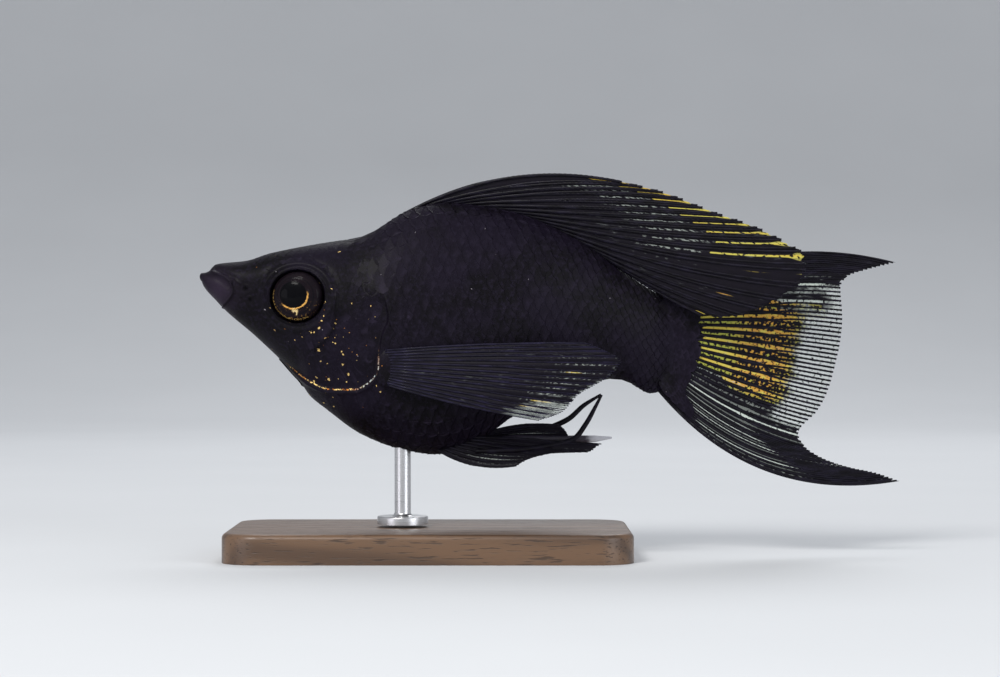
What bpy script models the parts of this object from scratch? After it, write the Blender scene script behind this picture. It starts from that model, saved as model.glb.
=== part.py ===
"""A male shortfin molly of the black lyretail form, life size, on a plain display stand.

The fish swims level with its head towards -X and its left side towards -Y. The origin is the
middle of the stand's underside and +Z is up. The body is lofted whole, from the lines of its
back, belly and breadth, and then parted with thin cuts into head, jaw, gill covers, torso and
tail stalk. Each fin is a thin sheet whose rays are ridges in its own surface.
"""

import math

import bmesh
import bpy
import numpy as np
from mathutils import Matrix, Vector

# Sizes below are in millimetres. They become metres where a mesh is made.
MM = 0.001
GAP = 0.3
WELD = 0.0001
SHARP_ANGLE = math.radians(40.0)

# Driving dimensions of the fish
JAW_TIP = -25.1
STALK_END = 24.7
TAIL_TIP = 52.6
SWAY_START = 5.0
SWAY = 4.0

# Lines of the body: place along X, then height above the underside of the stand
BACK = (
    (JAW_TIP, 30.95),  # tip of the lower jaw
    (-24.6, 31.05),
    (-24.1, 31.5),
    (-23.6, 32.0),  # upper lip
    (-22.6, 32.2),
    (-20.2, 32.45),
    (-17.4, 33.3),  # over the front of the eye
    (-9.3, 34.75),
    (-7.9, 34.9),  # nape
    (-2.2, 38.0),  # front of the dorsal fin
    (1.2, 38.8),
    (7.7, 38.1),
    (17.3, 34.3),  # rear of the dorsal fin
    (21.9, 30.7),
    (STALK_END, 29.2),
)
BELLY = (
    (JAW_TIP, 30.65),
    (-24.8, 29.9),
    (-23.6, 28.3),
    (-22.5, 27.0),
    (-18.9, 23.9),
    (-14.4, 19.35),  # throat, where the gill covers end
    (-13.2, 17.6),
    (-11.5, 16.2),
    (-7.4, 13.3),
    (-3.3, 11.8),
    (0.6, 11.2),  # deepest point, at the pelvic fins
    (3.9, 12.0),
    (9.5, 15.6),  # behind the vent
    (14.3, 18.0),
    (20.6, 19.6),
    (STALK_END, 17.9),
)
HALF_BREADTH = (
    (JAW_TIP, 1.1),
    (-24.6, 1.7),
    (-23.4, 2.3),
    (-20.0, 3.25),
    (-14.4, 4.7),
    (-9.0, 5.6),
    (-3.0, 6.0),
    (3.0, 5.8),
    (10.0, 4.9),
    (17.3, 3.4),
    (STALK_END, 1.7),
)
# Height of the broadest line as a share of the depth, then how boxy each section is
# above it and below it: 2 is an ellipse, more is boxier, less is sharper
WAIST = ((JAW_TIP, 0.6), (-20.0, 0.62), (-14.4, 0.58), (-7.0, 0.5), (5.0, 0.48), (STALK_END, 0.5))
CROWN = ((JAW_TIP, 2.4), (-14.4, 2.5), (-7.0, 2.1), (0.0, 1.9), (STALK_END, 2.0))
KEEL = ((JAW_TIP, 2.2), (-14.4, 1.8), (-7.0, 1.9), (2.0, 2.1), (STALK_END, 2.0))
RING_POINTS = 36
SNOUT_STATIONS = 7
HEAD_STATIONS = 15
TORSO_STATIONS = 20
SNOUT_END = -22.2
HEAD_END = -6.0

# Thin cuts that part the body, each a line of (place, height) points
CUT_REACH = 12.0
CUT_STEPS_PER_POINT = 3
GILL_CUT = (
    (-9.4, 38.0),
    (-8.2, 34.5),
    (-6.2, 30.8),
    (-4.65, 27.6),  # upper end of the gill opening
    (-4.4, 26.0),
    (-5.2, 24.4),
    (-5.4, 22.4),
    (-5.35, 20.6),
    (-6.4, 18.85),
    (-8.6, 18.15),
    (-10.8, 18.4),
    (-13.2, 19.2),
    (-15.1, 20.4),
    (-17.2, 19.6),
)
MOUTH_CUT = (
    (-26.4, 31.3),
    (-24.5, 31.15),
    (-23.9, 31.15),
    (-22.5, 30.75),
    (-21.5, 30.0),  # corner of the mouth
    (-21.35, 29.2),
    (-21.8, 28.3),
    (-22.6, 27.4),
    (-23.6, 26.2),
)
STALK_CUT = ((17.5, 42.0), (17.5, 12.0))

# The gill covers: their front edge, from above the gill opening round to below it, and how
# far from the body's middle the cut behind them lies
GILL_COVER_EDGE = (
    (-3.0, 28.1),
    (-5.2, 28.9),
    (-7.2, 29.7),
    (-9.0, 29.4),
    (-10.1, 27.6),
    (-11.0, 25.2),
    (-11.6, 23.0),
    (-11.3, 21.0),
    (-10.2, 19.3),
    (-9.0, 17.2),
)
GILL_COVER_REAR = -3.0
GILL_EDGE_POINTS = 18
GILL_CUT_DEPTH = 3.5

# The eyes, turned a little towards the snout as the sides of the head are
EYE_PLACE = (-14.25, 28.45)
EYE_RADII = (2.85, 1.25, 2.7)
EYE_OUT = 3.85
EYE_TURN = math.radians(12.0)
EYE_SEGMENTS = 20
SOCKET_SEGMENTS = 24
RIM_RADIUS = 3.1
RIM_FLATTENING = 0.95
RIM_THICKNESS = 0.26
RIM_OUT = 4.55
RIM_STEPS = 24
RIM_SIDES = 6

# The lips: tubes just above and below the mouth's line, from its middle to its corner
UPPER_LIP = ((-23.75, 0.0, 31.5), (-23.5, 1.3, 31.5), (-22.7, 2.3, 31.15), (-21.6, 2.75, 30.3))
LOWER_LIP = ((-24.95, 0.0, 30.72), (-24.65, 1.3, 30.68), (-23.5, 2.2, 30.55), (-21.95, 2.7, 29.6))
LIP_THICKNESS = 0.36
LIP_STEPS = 18
LIP_CORNER = 0.45

# The nostrils: place along X, height and radius of each pit
NOSTRILS = ((-20.0, 29.6, 0.28), (-19.4, 28.6, 0.24))
NOSTRIL_DEPTH = 0.6
NOSTRIL_SIDES = 8

# The stand
BASE_LENGTH = 44.0
BASE_BREADTH = 26.0
BASE_HEIGHT = 3.2
BASE_CORNER = 4.0
BASE_CORNER_STEPS = 6
BASE_CHAMFER = 0.5
BASE_CHAMFER_STEPS = 2
ROD_PLACE = -3.0
ROD_RADIUS = 0.9
ROD_IN_BODY = 2.6
ROD_TIP_CHAMFER = 0.15
ROD_STEPS = 20
ROD_SOCKET_BELOW = 2.0
ROD_SOCKET_SIDES = 16
COLLAR_RADIUS = 2.8
COLLAR_HEIGHT = 0.9
COLLAR_CHAMFER = 0.2
COLLAR_FILLET = 0.4

# Fins: half thickness at the root, on a ray, on the web between rays and at the tips
ROOT_HALF = 0.5
RAY_HALF = 0.42
WEB_HALF = 0.26
TIP_HALF = 0.2
# Shares of a ray's length: where the web ends, and the stretches that thin to root and tip
WEB_REACH = 0.95
ROOT_SHARE = 0.25
TIP_SHARE = 1.0 / 3.0

# Dorsal fin: root line on the back, then the tips of its rays from first to last
DORSAL_RAYS = 16
DORSAL_ROWS = 11
DORSAL_FROM = -2.0
DORSAL_TO = 17.0
DORSAL_ROOT_POINTS = 9
DORSAL_TIPS = (
    (21.0, 40.9),
    (25.2, 39.9),
    (31.5, 37.5),
    (36.2, 35.8),
    (39.6, 34.0),
    (41.2, 32.8),
    (41.2, 31.0),
    (39.2, 28.7),
    (36.4, 27.2),
    (32.6, 26.1),
    (29.6, 26.4),
)
# Bend of the first ray as a share of its length, and how soon the later rays are straight
DORSAL_BOW = 0.2
DORSAL_BOW_FADE = 1.5
# The fin leans this far to the left at this distance from its root, curling a little
DORSAL_LEAN = 4.0
DORSAL_LEAN_OVER = 25.0
DORSAL_LEAN_CURL = 1.2

# Tail fin: bows give the bend of its uppermost and lowest rays
CAUDAL_RAYS = 20
CAUDAL_ROWS = 12
CAUDAL_ROOT = STALK_END + GAP
CAUDAL_ROOT_INSET = 0.3
CAUDAL_ROOT_HALF = 1.2
CAUDAL_BOWS = (0.2, -0.29)
CAUDAL_TIPS = (
    (52.1, 32.3),  # tip of the upper lobe
    (49.4, 31.7),
    (46.6, 30.8),
    (45.8, 29.5),
    (46.0, 26.2),
    (45.8, 23.8),
    (45.3, 21.4),
    (44.4, 18.2),
    (43.2, 15.9),
    (41.0, 13.3),  # fork of the lower lobe
    (41.8, 11.8),
    (43.9, 10.5),
    (46.7, 9.6),
    (49.9, 8.95),
    (TAIL_TIP, 8.1),  # tip of the lower lobe
)

# Pectoral fins, which flare a little away from the flanks
PECTORAL_RAYS = 13
PECTORAL_ROWS = 9
PECTORAL_FLARE = 0.075
PECTORAL_ROOTS = ((-4.0, 23.3), (-4.15, 21.0), (-3.9, 18.4))
PECTORAL_TIPS = (
    (17.1, 23.5),
    (19.5, 22.5),
    (21.0, 21.5),
    (19.8, 19.9),
    (18.2, 18.9),
    (16.6, 18.0),
    (14.5, 15.9),
    (12.0, 15.05),
)

# Pelvic fins: how far each lies from the middle at its root, how much further at its tips,
# and how far its filament lies outside its root
PELVIC_RAYS = 6
PELVIC_ROWS = 8
PELVIC_OUT = 1.7
PELVIC_SPREAD = 0.9
FILAMENT_OUT = 0.75
FILAMENT_RADIUS = 0.3
FILAMENT_STEPS = 10
FILAMENT_END = 0.5
# Each one's root line, ray tips from the uppermost ray to the lowest, bends and filament
LEFT_PELVIC = {
    "roots": ((4.2, 11.7), (2.6, 10.95), (1.0, 10.75)),
    "tips": ((19.0, 12.2), (17.4, 11.4), (14.3, 11.5), (12.4, 11.2), (10.9, 10.75), (9.6, 10.0)),
    "bows": (0.03, -0.07),
    "filament": ((13.0, 12.2), (15.7, 12.9), (17.1, 14.6), (18.1, 16.4), (18.8, 17.75)),
}
RIGHT_PELVIC = {
    "roots": ((4.4, 11.8), (2.8, 11.0), (1.2, 10.75)),
    "tips": ((14.2, 13.9), (14.9, 13.0), (13.6, 12.2), (12.0, 11.4), (10.0, 10.6)),
    "bows": (0.08, -0.04),
    "filament": ((11.0, 13.3), (13.4, 14.1), (15.3, 15.0), (17.0, 16.5), (18.9, 17.7)),
}

# The gonopodium: a slender rod of fused rays behind the pelvic fins, out to its hooded tip,
# with the short rays of the anal fin over its root
GONOPODIUM_ROD = ((6.0, 12.15), (9.6, 12.8), (13.4, 12.8), (17.2, 12.8), (20.0, 13.0))
GONOPODIUM_HALF = 0.5
GONOPODIUM_STEPS = 14
GONOPODIUM_END = 0.6
ANAL_RAYS = 5
ANAL_ROWS = 7
ANAL_ROOT_PLACES = (7.0, 6.4, 5.8)
ANAL_ROOT_BELOW = 0.4
ANAL_BOWS = (0.1, 0.0)
ANAL_TIPS = ((14.3, 14.4), (14.9, 13.9), (15.3, 13.3), (15.4, 12.9))

# Finish of each node: colour, roughness and metallic value
BLACK_SKIN = ((0.022, 0.017, 0.028), 0.45, 0.0)
FIN_BLACK = ((0.028, 0.024, 0.040), 0.5, 0.0)
FIN_GOLD = ((0.20, 0.13, 0.02), 0.5, 0.0)
EYE_GOLD = ((0.05, 0.03, 0.015), 0.12, 0.0)
WALNUT = ((0.16, 0.085, 0.045), 0.5, 0.0)
STEEL = ((0.62, 0.62, 0.63), 0.3, 1.0)
FINISHES = {
    "head": BLACK_SKIN,
    "jaw": BLACK_SKIN,
    "gill_cover_left": BLACK_SKIN,
    "gill_cover_right": BLACK_SKIN,
    "torso": BLACK_SKIN,
    "tail_stalk": BLACK_SKIN,
    "fin_dorsal": FIN_BLACK,
    "fin_caudal": FIN_GOLD,
    "fin_pectoral_left": FIN_BLACK,
    "fin_pectoral_right": FIN_BLACK,
    "fin_pelvic_left": FIN_BLACK,
    "fin_pelvic_right": FIN_BLACK,
    "gonopodium": FIN_BLACK,
    "eye_left": EYE_GOLD,
    "eye_right": EYE_GOLD,
    "stand_base": WALNUT,
    "stand_rod": STEEL,
}


def line_through(points):
    """A smooth line through (place, value) points that never swings past them."""
    places, values = np.array(points, dtype=float).T
    runs = np.diff(places)
    steps = np.diff(values) / runs
    slopes = np.concatenate((steps[:1], steps))
    for i in range(1, len(steps)):
        before, after = steps[i - 1], steps[i]
        slopes[i] = 2.0 * before * after / (before + after) if before * after > 0.0 else 0.0

    def value(place):
        i = int(np.clip(np.searchsorted(places, place) - 1, 0, len(runs) - 1))
        t = (place - places[i]) / runs[i]
        rise = values[i + 1] - values[i]
        ease = t * t * (3.0 - 2.0 * t)
        bend_in = t * (1.0 - t) ** 2 * runs[i] * slopes[i]
        bend_out = t * t * (t - 1.0) * runs[i] * slopes[i + 1]
        return float(values[i] + rise * ease + bend_in + bend_out)

    return value


def path_through(points):
    """A smooth path through points in the plane or in space, read from 0 at its start to 1."""
    stops = [Vector(p) for p in points]
    lengths = np.cumsum([0.0] + [(b - a).length for a, b in zip(stops, stops[1:])])
    shares = lengths / lengths[-1]
    lines = [line_through(list(zip(shares, axis))) for axis in zip(*stops)]
    return lambda share: Vector([line(share) for line in lines])


back = line_through(BACK)
belly = line_through(BELLY)
half_breadth = line_through(HALF_BREADTH)
waist_share = line_through(WAIST)
crown = line_through(CROWN)
keel = line_through(KEEL)


def sway(x):
    """How far the swimming bend carries the body's middle towards +Y."""
    share = max(0.0, (x - SWAY_START) / (TAIL_TIP - SWAY_START))
    return SWAY * share * share


def waist(x):
    return belly(x) + waist_share(x) * (back(x) - belly(x))


def skin_point(x, turn):
    """A point of the skin: turn is 0 on the left side, a quarter turn on the back."""
    across, up = math.cos(turn), math.sin(turn)
    power = 2.0 / (crown(x) if up > 0.0 else keel(x))
    height = (back(x) if up > 0.0 else belly(x)) - waist(x)
    y = -math.copysign(abs(across) ** power, across) * half_breadth(x)
    return Vector((x, sway(x) + y, waist(x) + height * abs(up) ** power))


def flank(x, z):
    """Half of the body's breadth at a place and height."""
    reach = (back(x) if z > waist(x) else belly(x)) - waist(x)
    power = crown(x) if z > waist(x) else keel(x)
    share = min(1.0, abs((z - waist(x)) / reach))
    return half_breadth(x) * (1.0 - share**power) ** (1.0 / power)


def link(name, mesh, collection):
    thing = bpy.data.objects.new(name, mesh)
    collection.objects.link(thing)
    return thing


def object_of(name, bm, collection):
    """An object of a bmesh whose points are in millimetres."""
    bmesh.ops.scale(bm, vec=(MM, MM, MM), verts=bm.verts)
    bmesh.ops.recalc_face_normals(bm, faces=bm.faces)
    mesh = bpy.data.meshes.new(name)
    bm.to_mesh(mesh)
    bm.free()
    return link(name, mesh, collection)


def loft(name, rings, collection):
    """A closed body over rings of equal count, with a face at each end."""
    bm = bmesh.new()
    loops = [[bm.verts.new(p) for p in ring] for ring in rings]
    for near, far in zip(loops, loops[1:]):
        for i, corner in enumerate(near):
            j = (i + 1) % len(near)
            bm.faces.new((corner, near[j], far[j], far[i]))
    bm.faces.new(loops[0])
    bm.faces.new(loops[-1])
    return object_of(name, bm, collection)


def tube(name, points, radius, collection, tips=1.0):
    """A round tube along points, its ends thinned to a share of its radius, as a welded mesh."""
    curve = bpy.data.curves.new(name, "CURVE")
    curve.dimensions = "3D"
    curve.bevel_depth = radius * MM
    curve.bevel_resolution = 1
    curve.use_fill_caps = True
    spline = curve.splines.new("POLY")
    spline.points.add(len(points) - 1)
    for i, (stop, point) in enumerate(zip(spline.points, points)):
        share = i / (len(points) - 1)
        stop.co = (*(Vector(point) * MM), 1.0)
        stop.radius = tips + (1.0 - tips) * math.sin(math.pi * share)
    guide = link(name, curve, collection)
    return welded(guide, collection)


def welded(guide, collection):
    """Turns a curve object into a mesh object with its caps welded."""
    graph = bpy.context.evaluated_depsgraph_get()
    mesh = bpy.data.meshes.new_from_object(guide.evaluated_get(graph))
    bm = bmesh.new()
    bm.from_mesh(mesh)
    bmesh.ops.remove_doubles(bm, verts=bm.verts, dist=WELD * MM)
    bmesh.ops.recalc_face_normals(bm, faces=bm.faces)
    bm.to_mesh(mesh)
    bm.free()
    thing = link(guide.name + " mesh", mesh, collection)
    thing.matrix_world = guide.matrix_world
    bpy.data.objects.remove(guide)
    return thing


def settle(thing):
    """Applies the modifiers of an object."""
    graph = bpy.context.evaluated_depsgraph_get()
    mesh = bpy.data.meshes.new_from_object(thing.evaluated_get(graph))
    thing.modifiers.clear()
    thing.data = mesh


def combine(thing, operation, pieces):
    """Joins pieces to a thing, or cuts them from it, with one Boolean, and removes them."""
    together = bpy.data.collections.new(thing.name + " pieces")
    bpy.context.scene.collection.children.link(together)
    for piece in pieces:
        for home in piece.users_collection:
            home.objects.unlink(piece)
        together.objects.link(piece)
    boolean = thing.modifiers.new(operation, "BOOLEAN")
    boolean.operation = operation
    boolean.operand_type = "COLLECTION"
    boolean.collection = together
    settle(thing)
    for piece in pieces:
        bpy.data.objects.remove(piece)
    bpy.data.collections.remove(together)


def surfaces(thing):
    """The closed surfaces of an object, largest first, each as a bmesh of its own."""
    whole = bmesh.new()
    whole.from_mesh(thing.data)
    groups = []
    seen = set()
    for start in whole.verts:
        if start.index in seen:
            continue
        group, to_visit = {start.index}, [start]
        while to_visit:
            vert = to_visit.pop()
            for edge in vert.link_edges:
                other = edge.other_vert(vert)
                if other.index not in group:
                    group.add(other.index)
                    to_visit.append(other)
        seen |= group
        groups.append(group)
    pieces = []
    for group in groups:
        piece = whole.copy()
        away = [v for v in piece.verts if v.index not in group]
        bmesh.ops.delete(piece, geom=away, context="VERTS")
        pieces.append(piece)
    whole.free()
    pieces.sort(key=lambda piece: abs(piece.calc_volume()), reverse=True)
    return pieces


def keep_largest(thing):
    largest, *scraps = surfaces(thing)
    largest.to_mesh(thing.data)
    for piece in (largest, *scraps):
        piece.free()


def part_off(thing, cutter, new_name):
    """Cuts a thing in two: the larger half stays, and the smaller one gets the new name."""
    combine(thing, "DIFFERENCE", [cutter])
    pieces = surfaces(thing)
    mesh = bpy.data.meshes.new(new_name)
    pieces[0].to_mesh(thing.data)
    pieces[1].to_mesh(mesh)
    for piece in pieces:
        piece.free()
    return link(new_name, mesh, thing.users_collection[0])


def thin_wall(name, line, collection):
    """A wall as thick as the gap that follows a line in the XZ plane right through the body."""
    path = path_through([(x, 0.0, z) for x, z in line])
    bm = bmesh.new()
    count = CUT_STEPS_PER_POINT * len(line)
    stops = [bm.verts.new(path(i / count)) for i in range(count + 1)]
    edges = [bm.edges.new(pair) for pair in zip(stops, stops[1:])]
    bmesh.ops.translate(bm, verts=bm.verts, vec=(0.0, -CUT_REACH, 0.0))
    far = bmesh.ops.extrude_edge_only(bm, edges=edges)["geom"]
    far_verts = [part for part in far if isinstance(part, bmesh.types.BMVert)]
    bmesh.ops.translate(bm, verts=far_verts, vec=(0.0, 2.0 * CUT_REACH, 0.0))
    wall = object_of(name, bm, collection)
    thicken(wall)
    return wall


def gill_cup(name, side, collection):
    """A cup as thick as the gap round one gill cover, open towards the side it is on."""
    edge = path_through(GILL_COVER_EDGE)
    outline = [edge(i / GILL_EDGE_POINTS) for i in range(GILL_EDGE_POINTS + 1)]
    outline += [(GILL_COVER_REAR, GILL_COVER_EDGE[-1][1])]
    bm = bmesh.new()
    rim = [bm.verts.new((x, side * GILL_CUT_DEPTH, z)) for x, z in outline]
    floor = bm.faces.new(rim)
    walls = bmesh.ops.extrude_edge_only(bm, edges=floor.edges)["geom"]
    far_verts = [part for part in walls if isinstance(part, bmesh.types.BMVert)]
    bmesh.ops.translate(bm, verts=far_verts, vec=(0.0, side * CUT_REACH, 0.0))
    cup = object_of(name, bm, collection)
    thicken(cup)
    return cup


def thicken(thing):
    shell = thing.modifiers.new("gap", "SOLIDIFY")
    shell.thickness = GAP * MM
    shell.offset = 0.0
    shell.use_even_offset = True
    settle(thing)


def ball(name, radii, segments, place, turn, collection):
    """A flattened ball whose poles lie along Y, turned about Z."""
    bm = bmesh.new()
    bmesh.ops.create_uvsphere(bm, u_segments=segments, v_segments=segments // 2, radius=1.0)
    bmesh.ops.rotate(bm, verts=bm.verts, matrix=Matrix.Rotation(math.pi / 2.0, 3, "X"))
    bmesh.ops.scale(bm, verts=bm.verts, vec=radii)
    bmesh.ops.rotate(bm, verts=bm.verts, matrix=Matrix.Rotation(turn, 3, "Z"))
    bmesh.ops.translate(bm, verts=bm.verts, vec=place)
    return object_of(name, bm, collection)


def eye_rim(side, collection):
    """The raised ring of skin round an eye."""
    bm = bmesh.new()
    bmesh.ops.create_circle(bm, segments=RIM_SIDES, radius=RIM_THICKNESS)
    bmesh.ops.translate(bm, verts=bm.verts, vec=(RIM_RADIUS, 0.0, 0.0))
    bmesh.ops.spin(bm, geom=bm.verts[:] + bm.edges[:], cent=(0.0, 0.0, 0.0),
                   axis=(0.0, 1.0, 0.0), angle=math.tau, steps=RIM_STEPS, use_merge=True)
    bmesh.ops.scale(bm, verts=bm.verts, vec=(1.0, 1.0, RIM_FLATTENING))
    bmesh.ops.rotate(bm, verts=bm.verts, matrix=Matrix.Rotation(side * EYE_TURN, 3, "Z"))
    x, z = EYE_PLACE
    bmesh.ops.translate(bm, verts=bm.verts, vec=(x, side * RIM_OUT, z))
    return object_of("eye rim", bm, collection)


def lip(name, half_line, collection):
    """A lip: a tube from one corner of the mouth round the front to the other."""
    left = [Vector((x, -y, z)) for x, y, z in half_line[:0:-1]]
    path = path_through(left + [Vector(p) for p in half_line])
    points = [path(i / LIP_STEPS) for i in range(LIP_STEPS + 1)]
    return tube(name, points, LIP_THICKNESS, collection, tips=LIP_CORNER)


def nostril(x, z, radius, side, collection):
    """A short pin that leaves a pit in the snout."""
    bm = bmesh.new()
    bmesh.ops.create_cone(bm, cap_ends=True, segments=NOSTRIL_SIDES, radius1=radius,
                          radius2=radius, depth=2.0 * NOSTRIL_DEPTH)
    bmesh.ops.rotate(bm, verts=bm.verts, matrix=Matrix.Rotation(math.pi / 2.0, 3, "X"))
    bmesh.ops.translate(bm, verts=bm.verts, vec=(x, side * flank(x, z), z))
    return object_of("nostril", bm, collection)


def body_stations():
    """Places along X where the body's sections are taken, closest together at the snout."""
    snout = np.linspace(JAW_TIP, SNOUT_END, SNOUT_STATIONS)
    head = np.linspace(SNOUT_END, HEAD_END, HEAD_STATIONS)
    torso = np.linspace(HEAD_END, STALK_END, TORSO_STATIONS)
    return [float(x) for x in (*snout, *head[1:], *torso[1:])]


def body(parts, tools):
    """The whole body, parted into its nodes."""
    turns = [math.tau * (i + 0.5) / RING_POINTS for i in range(RING_POINTS)]
    rings = [[skin_point(x, turn) for turn in turns] for x in body_stations()]
    torso = loft("torso", rings, parts)

    raised = [lip("upper lip", UPPER_LIP, tools), lip("lower lip", LOWER_LIP, tools)]
    raised += [eye_rim(side, tools) for side in (-1, 1)]
    combine(torso, "UNION", raised)
    keep_largest(torso)

    x, z = EYE_PLACE
    socket_radii = [radius + GAP for radius in EYE_RADII]
    hollows = [
        ball("socket", socket_radii, SOCKET_SEGMENTS, (x, side * EYE_OUT, z), side * EYE_TURN,
             tools)
        for side in (-1, 1)
    ]
    hollows += [nostril(*pit, side, tools) for pit in NOSTRILS for side in (-1, 1)]
    hollows.append(rod_socket(tools))
    combine(torso, "DIFFERENCE", hollows)
    keep_largest(torso)

    part_off(torso, thin_wall("stalk cut", STALK_CUT, tools), "tail_stalk")
    head = part_off(torso, thin_wall("gill cut", GILL_CUT, tools), "head")
    part_off(head, thin_wall("mouth cut", MOUTH_CUT, tools), "jaw")
    part_off(head, gill_cup("left cup", -1, tools), "gill_cover_left")
    part_off(head, gill_cup("right cup", 1, tools), "gill_cover_right")


def rod_socket(collection):
    """The blind hole in the belly that the stand's rod goes up into."""
    bm = bmesh.new()
    bottom = belly(ROD_PLACE) - ROD_SOCKET_BELOW
    top = belly(ROD_PLACE) + ROD_IN_BODY + GAP
    bmesh.ops.create_cone(bm, cap_ends=True, segments=ROD_SOCKET_SIDES,
                          radius1=ROD_RADIUS + GAP, radius2=ROD_RADIUS + GAP,
                          depth=top - bottom)
    bmesh.ops.translate(bm, verts=bm.verts, vec=(ROD_PLACE, 0.0, 0.5 * (bottom + top)))
    return object_of("rod socket", bm, collection)


def eyes(parts):
    x, z = EYE_PLACE
    for name, side in (("eye_left", -1), ("eye_right", 1)):
        ball(name, EYE_RADII, EYE_SEGMENTS, (x, side * EYE_OUT, z), side * EYE_TURN, parts)


def fan(name, rays, rows, roots, tips, bow, side, collection, root_half=ROOT_HALF):
    """A fin: rays spread from a root line to the line of their tips, with a web between.

    bow gives each ray's bend as a share of its length, and side gives Y at a point, from its
    place, its height, its share of the ray and the ray's share of the fin. The rays stand out
    of both faces of the web, and the web ends a little short of their tips.
    """
    columns = 2 * rays - 1
    root_line, tip_line = path_through(roots), path_through(tips)
    front, rear = [], []
    for column in range(columns):
        spread = column / (columns - 1)
        on_ray = column % 2 == 0
        full = RAY_HALF if on_ray else WEB_HALF
        start, end = root_line(spread), tip_line(spread)
        along = end - start
        control = (start + end) / 2.0 + bow(spread) * Vector((-along.y, along.x))
        for row in range(rows):
            share = row / (rows - 1)
            reach = share * (1.0 if on_ray else WEB_REACH)
            x, z = start * (1 - reach) ** 2 + control * 2 * reach * (1 - reach) + end * reach**2
            rooted = max(0.0, 1.0 - share / ROOT_SHARE)
            thin = max(0.0, 1.0 - (1.0 - share) / TIP_SHARE)
            half = full + (root_half - full) * rooted + (TIP_HALF - full) * thin
            y = side(x, z, reach, spread)
            front.append(Vector((x, y - half, z)))
            rear.append(Vector((x, y + half, z)))
    return sheet(name, front, rear, columns, rows, collection)


def sheet(name, front, rear, columns, rows, collection):
    """A closed thin sheet whose two faces are split into triangles alike."""
    bm = bmesh.new()
    near = [bm.verts.new(p) for p in front]
    far = [bm.verts.new(p) for p in rear]
    for column in range(columns - 1):
        for row in range(rows - 1):
            a = column * rows + row
            b, c, d = a + 1, a + rows + 1, a + rows
            halves = ((a, b, c), (a, c, d)) if column % 2 else ((a, b, d), (b, c, d))
            for corners in halves:
                bm.faces.new([near[k] for k in corners])
                bm.faces.new([far[k] for k in reversed(corners)])
    last = (columns - 1) * rows
    border = list(range(rows - 1))
    border += [column * rows + rows - 1 for column in range(columns - 1)]
    border += [last + row for row in range(rows - 1, 0, -1)]
    border += [column * rows for column in range(columns - 1, 0, -1)]
    for a, b in zip(border, border[1:] + border[:1]):
        bm.faces.new((near[a], near[b], far[b]))
        bm.faces.new((near[a], far[b], far[a]))
    return object_of(name, bm, collection)


def between(first, last):
    """A value that goes evenly from the first ray's to the last ray's."""
    return lambda spread: first + (last - first) * spread


def dorsal_bow(spread):
    return DORSAL_BOW * (1.0 - spread) ** DORSAL_BOW_FADE


def dorsal_side(x, z, reach, spread):
    base = DORSAL_FROM + spread * (DORSAL_TO - DORSAL_FROM)
    away = math.hypot(x - base, z - back(base))
    return sway(base) - DORSAL_LEAN * (away / DORSAL_LEAN_OVER) ** DORSAL_LEAN_CURL


def dorsal_fin(parts):
    places = np.linspace(DORSAL_FROM, DORSAL_TO, DORSAL_ROOT_POINTS)
    roots = [(float(x), back(x) + GAP) for x in places]
    fan("fin_dorsal", DORSAL_RAYS, DORSAL_ROWS, roots, DORSAL_TIPS, dorsal_bow, dorsal_side, parts)


def tail_fin(parts):
    top = back(STALK_END) - CAUDAL_ROOT_INSET
    bottom = belly(STALK_END) + CAUDAL_ROOT_INSET
    roots = [(CAUDAL_ROOT, z) for z in (top, 0.5 * (top + bottom), bottom)]
    fan("fin_caudal", CAUDAL_RAYS, CAUDAL_ROWS, roots, CAUDAL_TIPS, between(*CAUDAL_BOWS),
        lambda x, z, reach, spread: sway(x), parts, root_half=CAUDAL_ROOT_HALF)


def pectoral_fin(name, side, parts):
    root = PECTORAL_ROOTS[0][0]
    out = half_breadth(root) + GAP + ROOT_HALF
    fan(name, PECTORAL_RAYS, PECTORAL_ROWS, PECTORAL_ROOTS, PECTORAL_TIPS, between(0.0, 0.0),
        lambda x, z, reach, spread: side * (out + PECTORAL_FLARE * (x - root)), parts)


def pelvic_fin(name, side, shape, parts, tools):
    fin = fan(name, PELVIC_RAYS, PELVIC_ROWS, shape["roots"], shape["tips"],
              between(*shape["bows"]),
              lambda x, z, reach, spread: side * (PELVIC_OUT + PELVIC_SPREAD * reach), parts)
    out = side * (PELVIC_OUT + FILAMENT_OUT)
    path = path_through([(x, out, z) for x, z in shape["filament"]])
    points = [path(i / FILAMENT_STEPS) for i in range(FILAMENT_STEPS + 1)]
    filament = tube("filament", points, FILAMENT_RADIUS, tools, tips=FILAMENT_END)
    combine(fin, "UNION", [filament])
    keep_largest(fin)


def gonopodium(parts, tools):
    roots = [(x, belly(x) - ANAL_ROOT_BELOW) for x in ANAL_ROOT_PLACES]
    web = fan("gonopodium", ANAL_RAYS, ANAL_ROWS, roots, ANAL_TIPS, between(*ANAL_BOWS),
              lambda x, z, reach, spread: 0.0, parts)
    path = path_through([(x, 0.0, z) for x, z in GONOPODIUM_ROD])
    points = [path(i / GONOPODIUM_STEPS) for i in range(GONOPODIUM_STEPS + 1)]
    rod = tube("rod", points, GONOPODIUM_HALF, tools, tips=GONOPODIUM_END)
    combine(web, "UNION", [rod])
    keep_largest(web)


def fins(parts, tools):
    dorsal_fin(parts)
    tail_fin(parts)
    pectoral_fin("fin_pectoral_left", -1, parts)
    pectoral_fin("fin_pectoral_right", 1, parts)
    pelvic_fin("fin_pelvic_left", -1, LEFT_PELVIC, parts, tools)
    pelvic_fin("fin_pelvic_right", 1, RIGHT_PELVIC, parts, tools)
    gonopodium(parts, tools)


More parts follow.
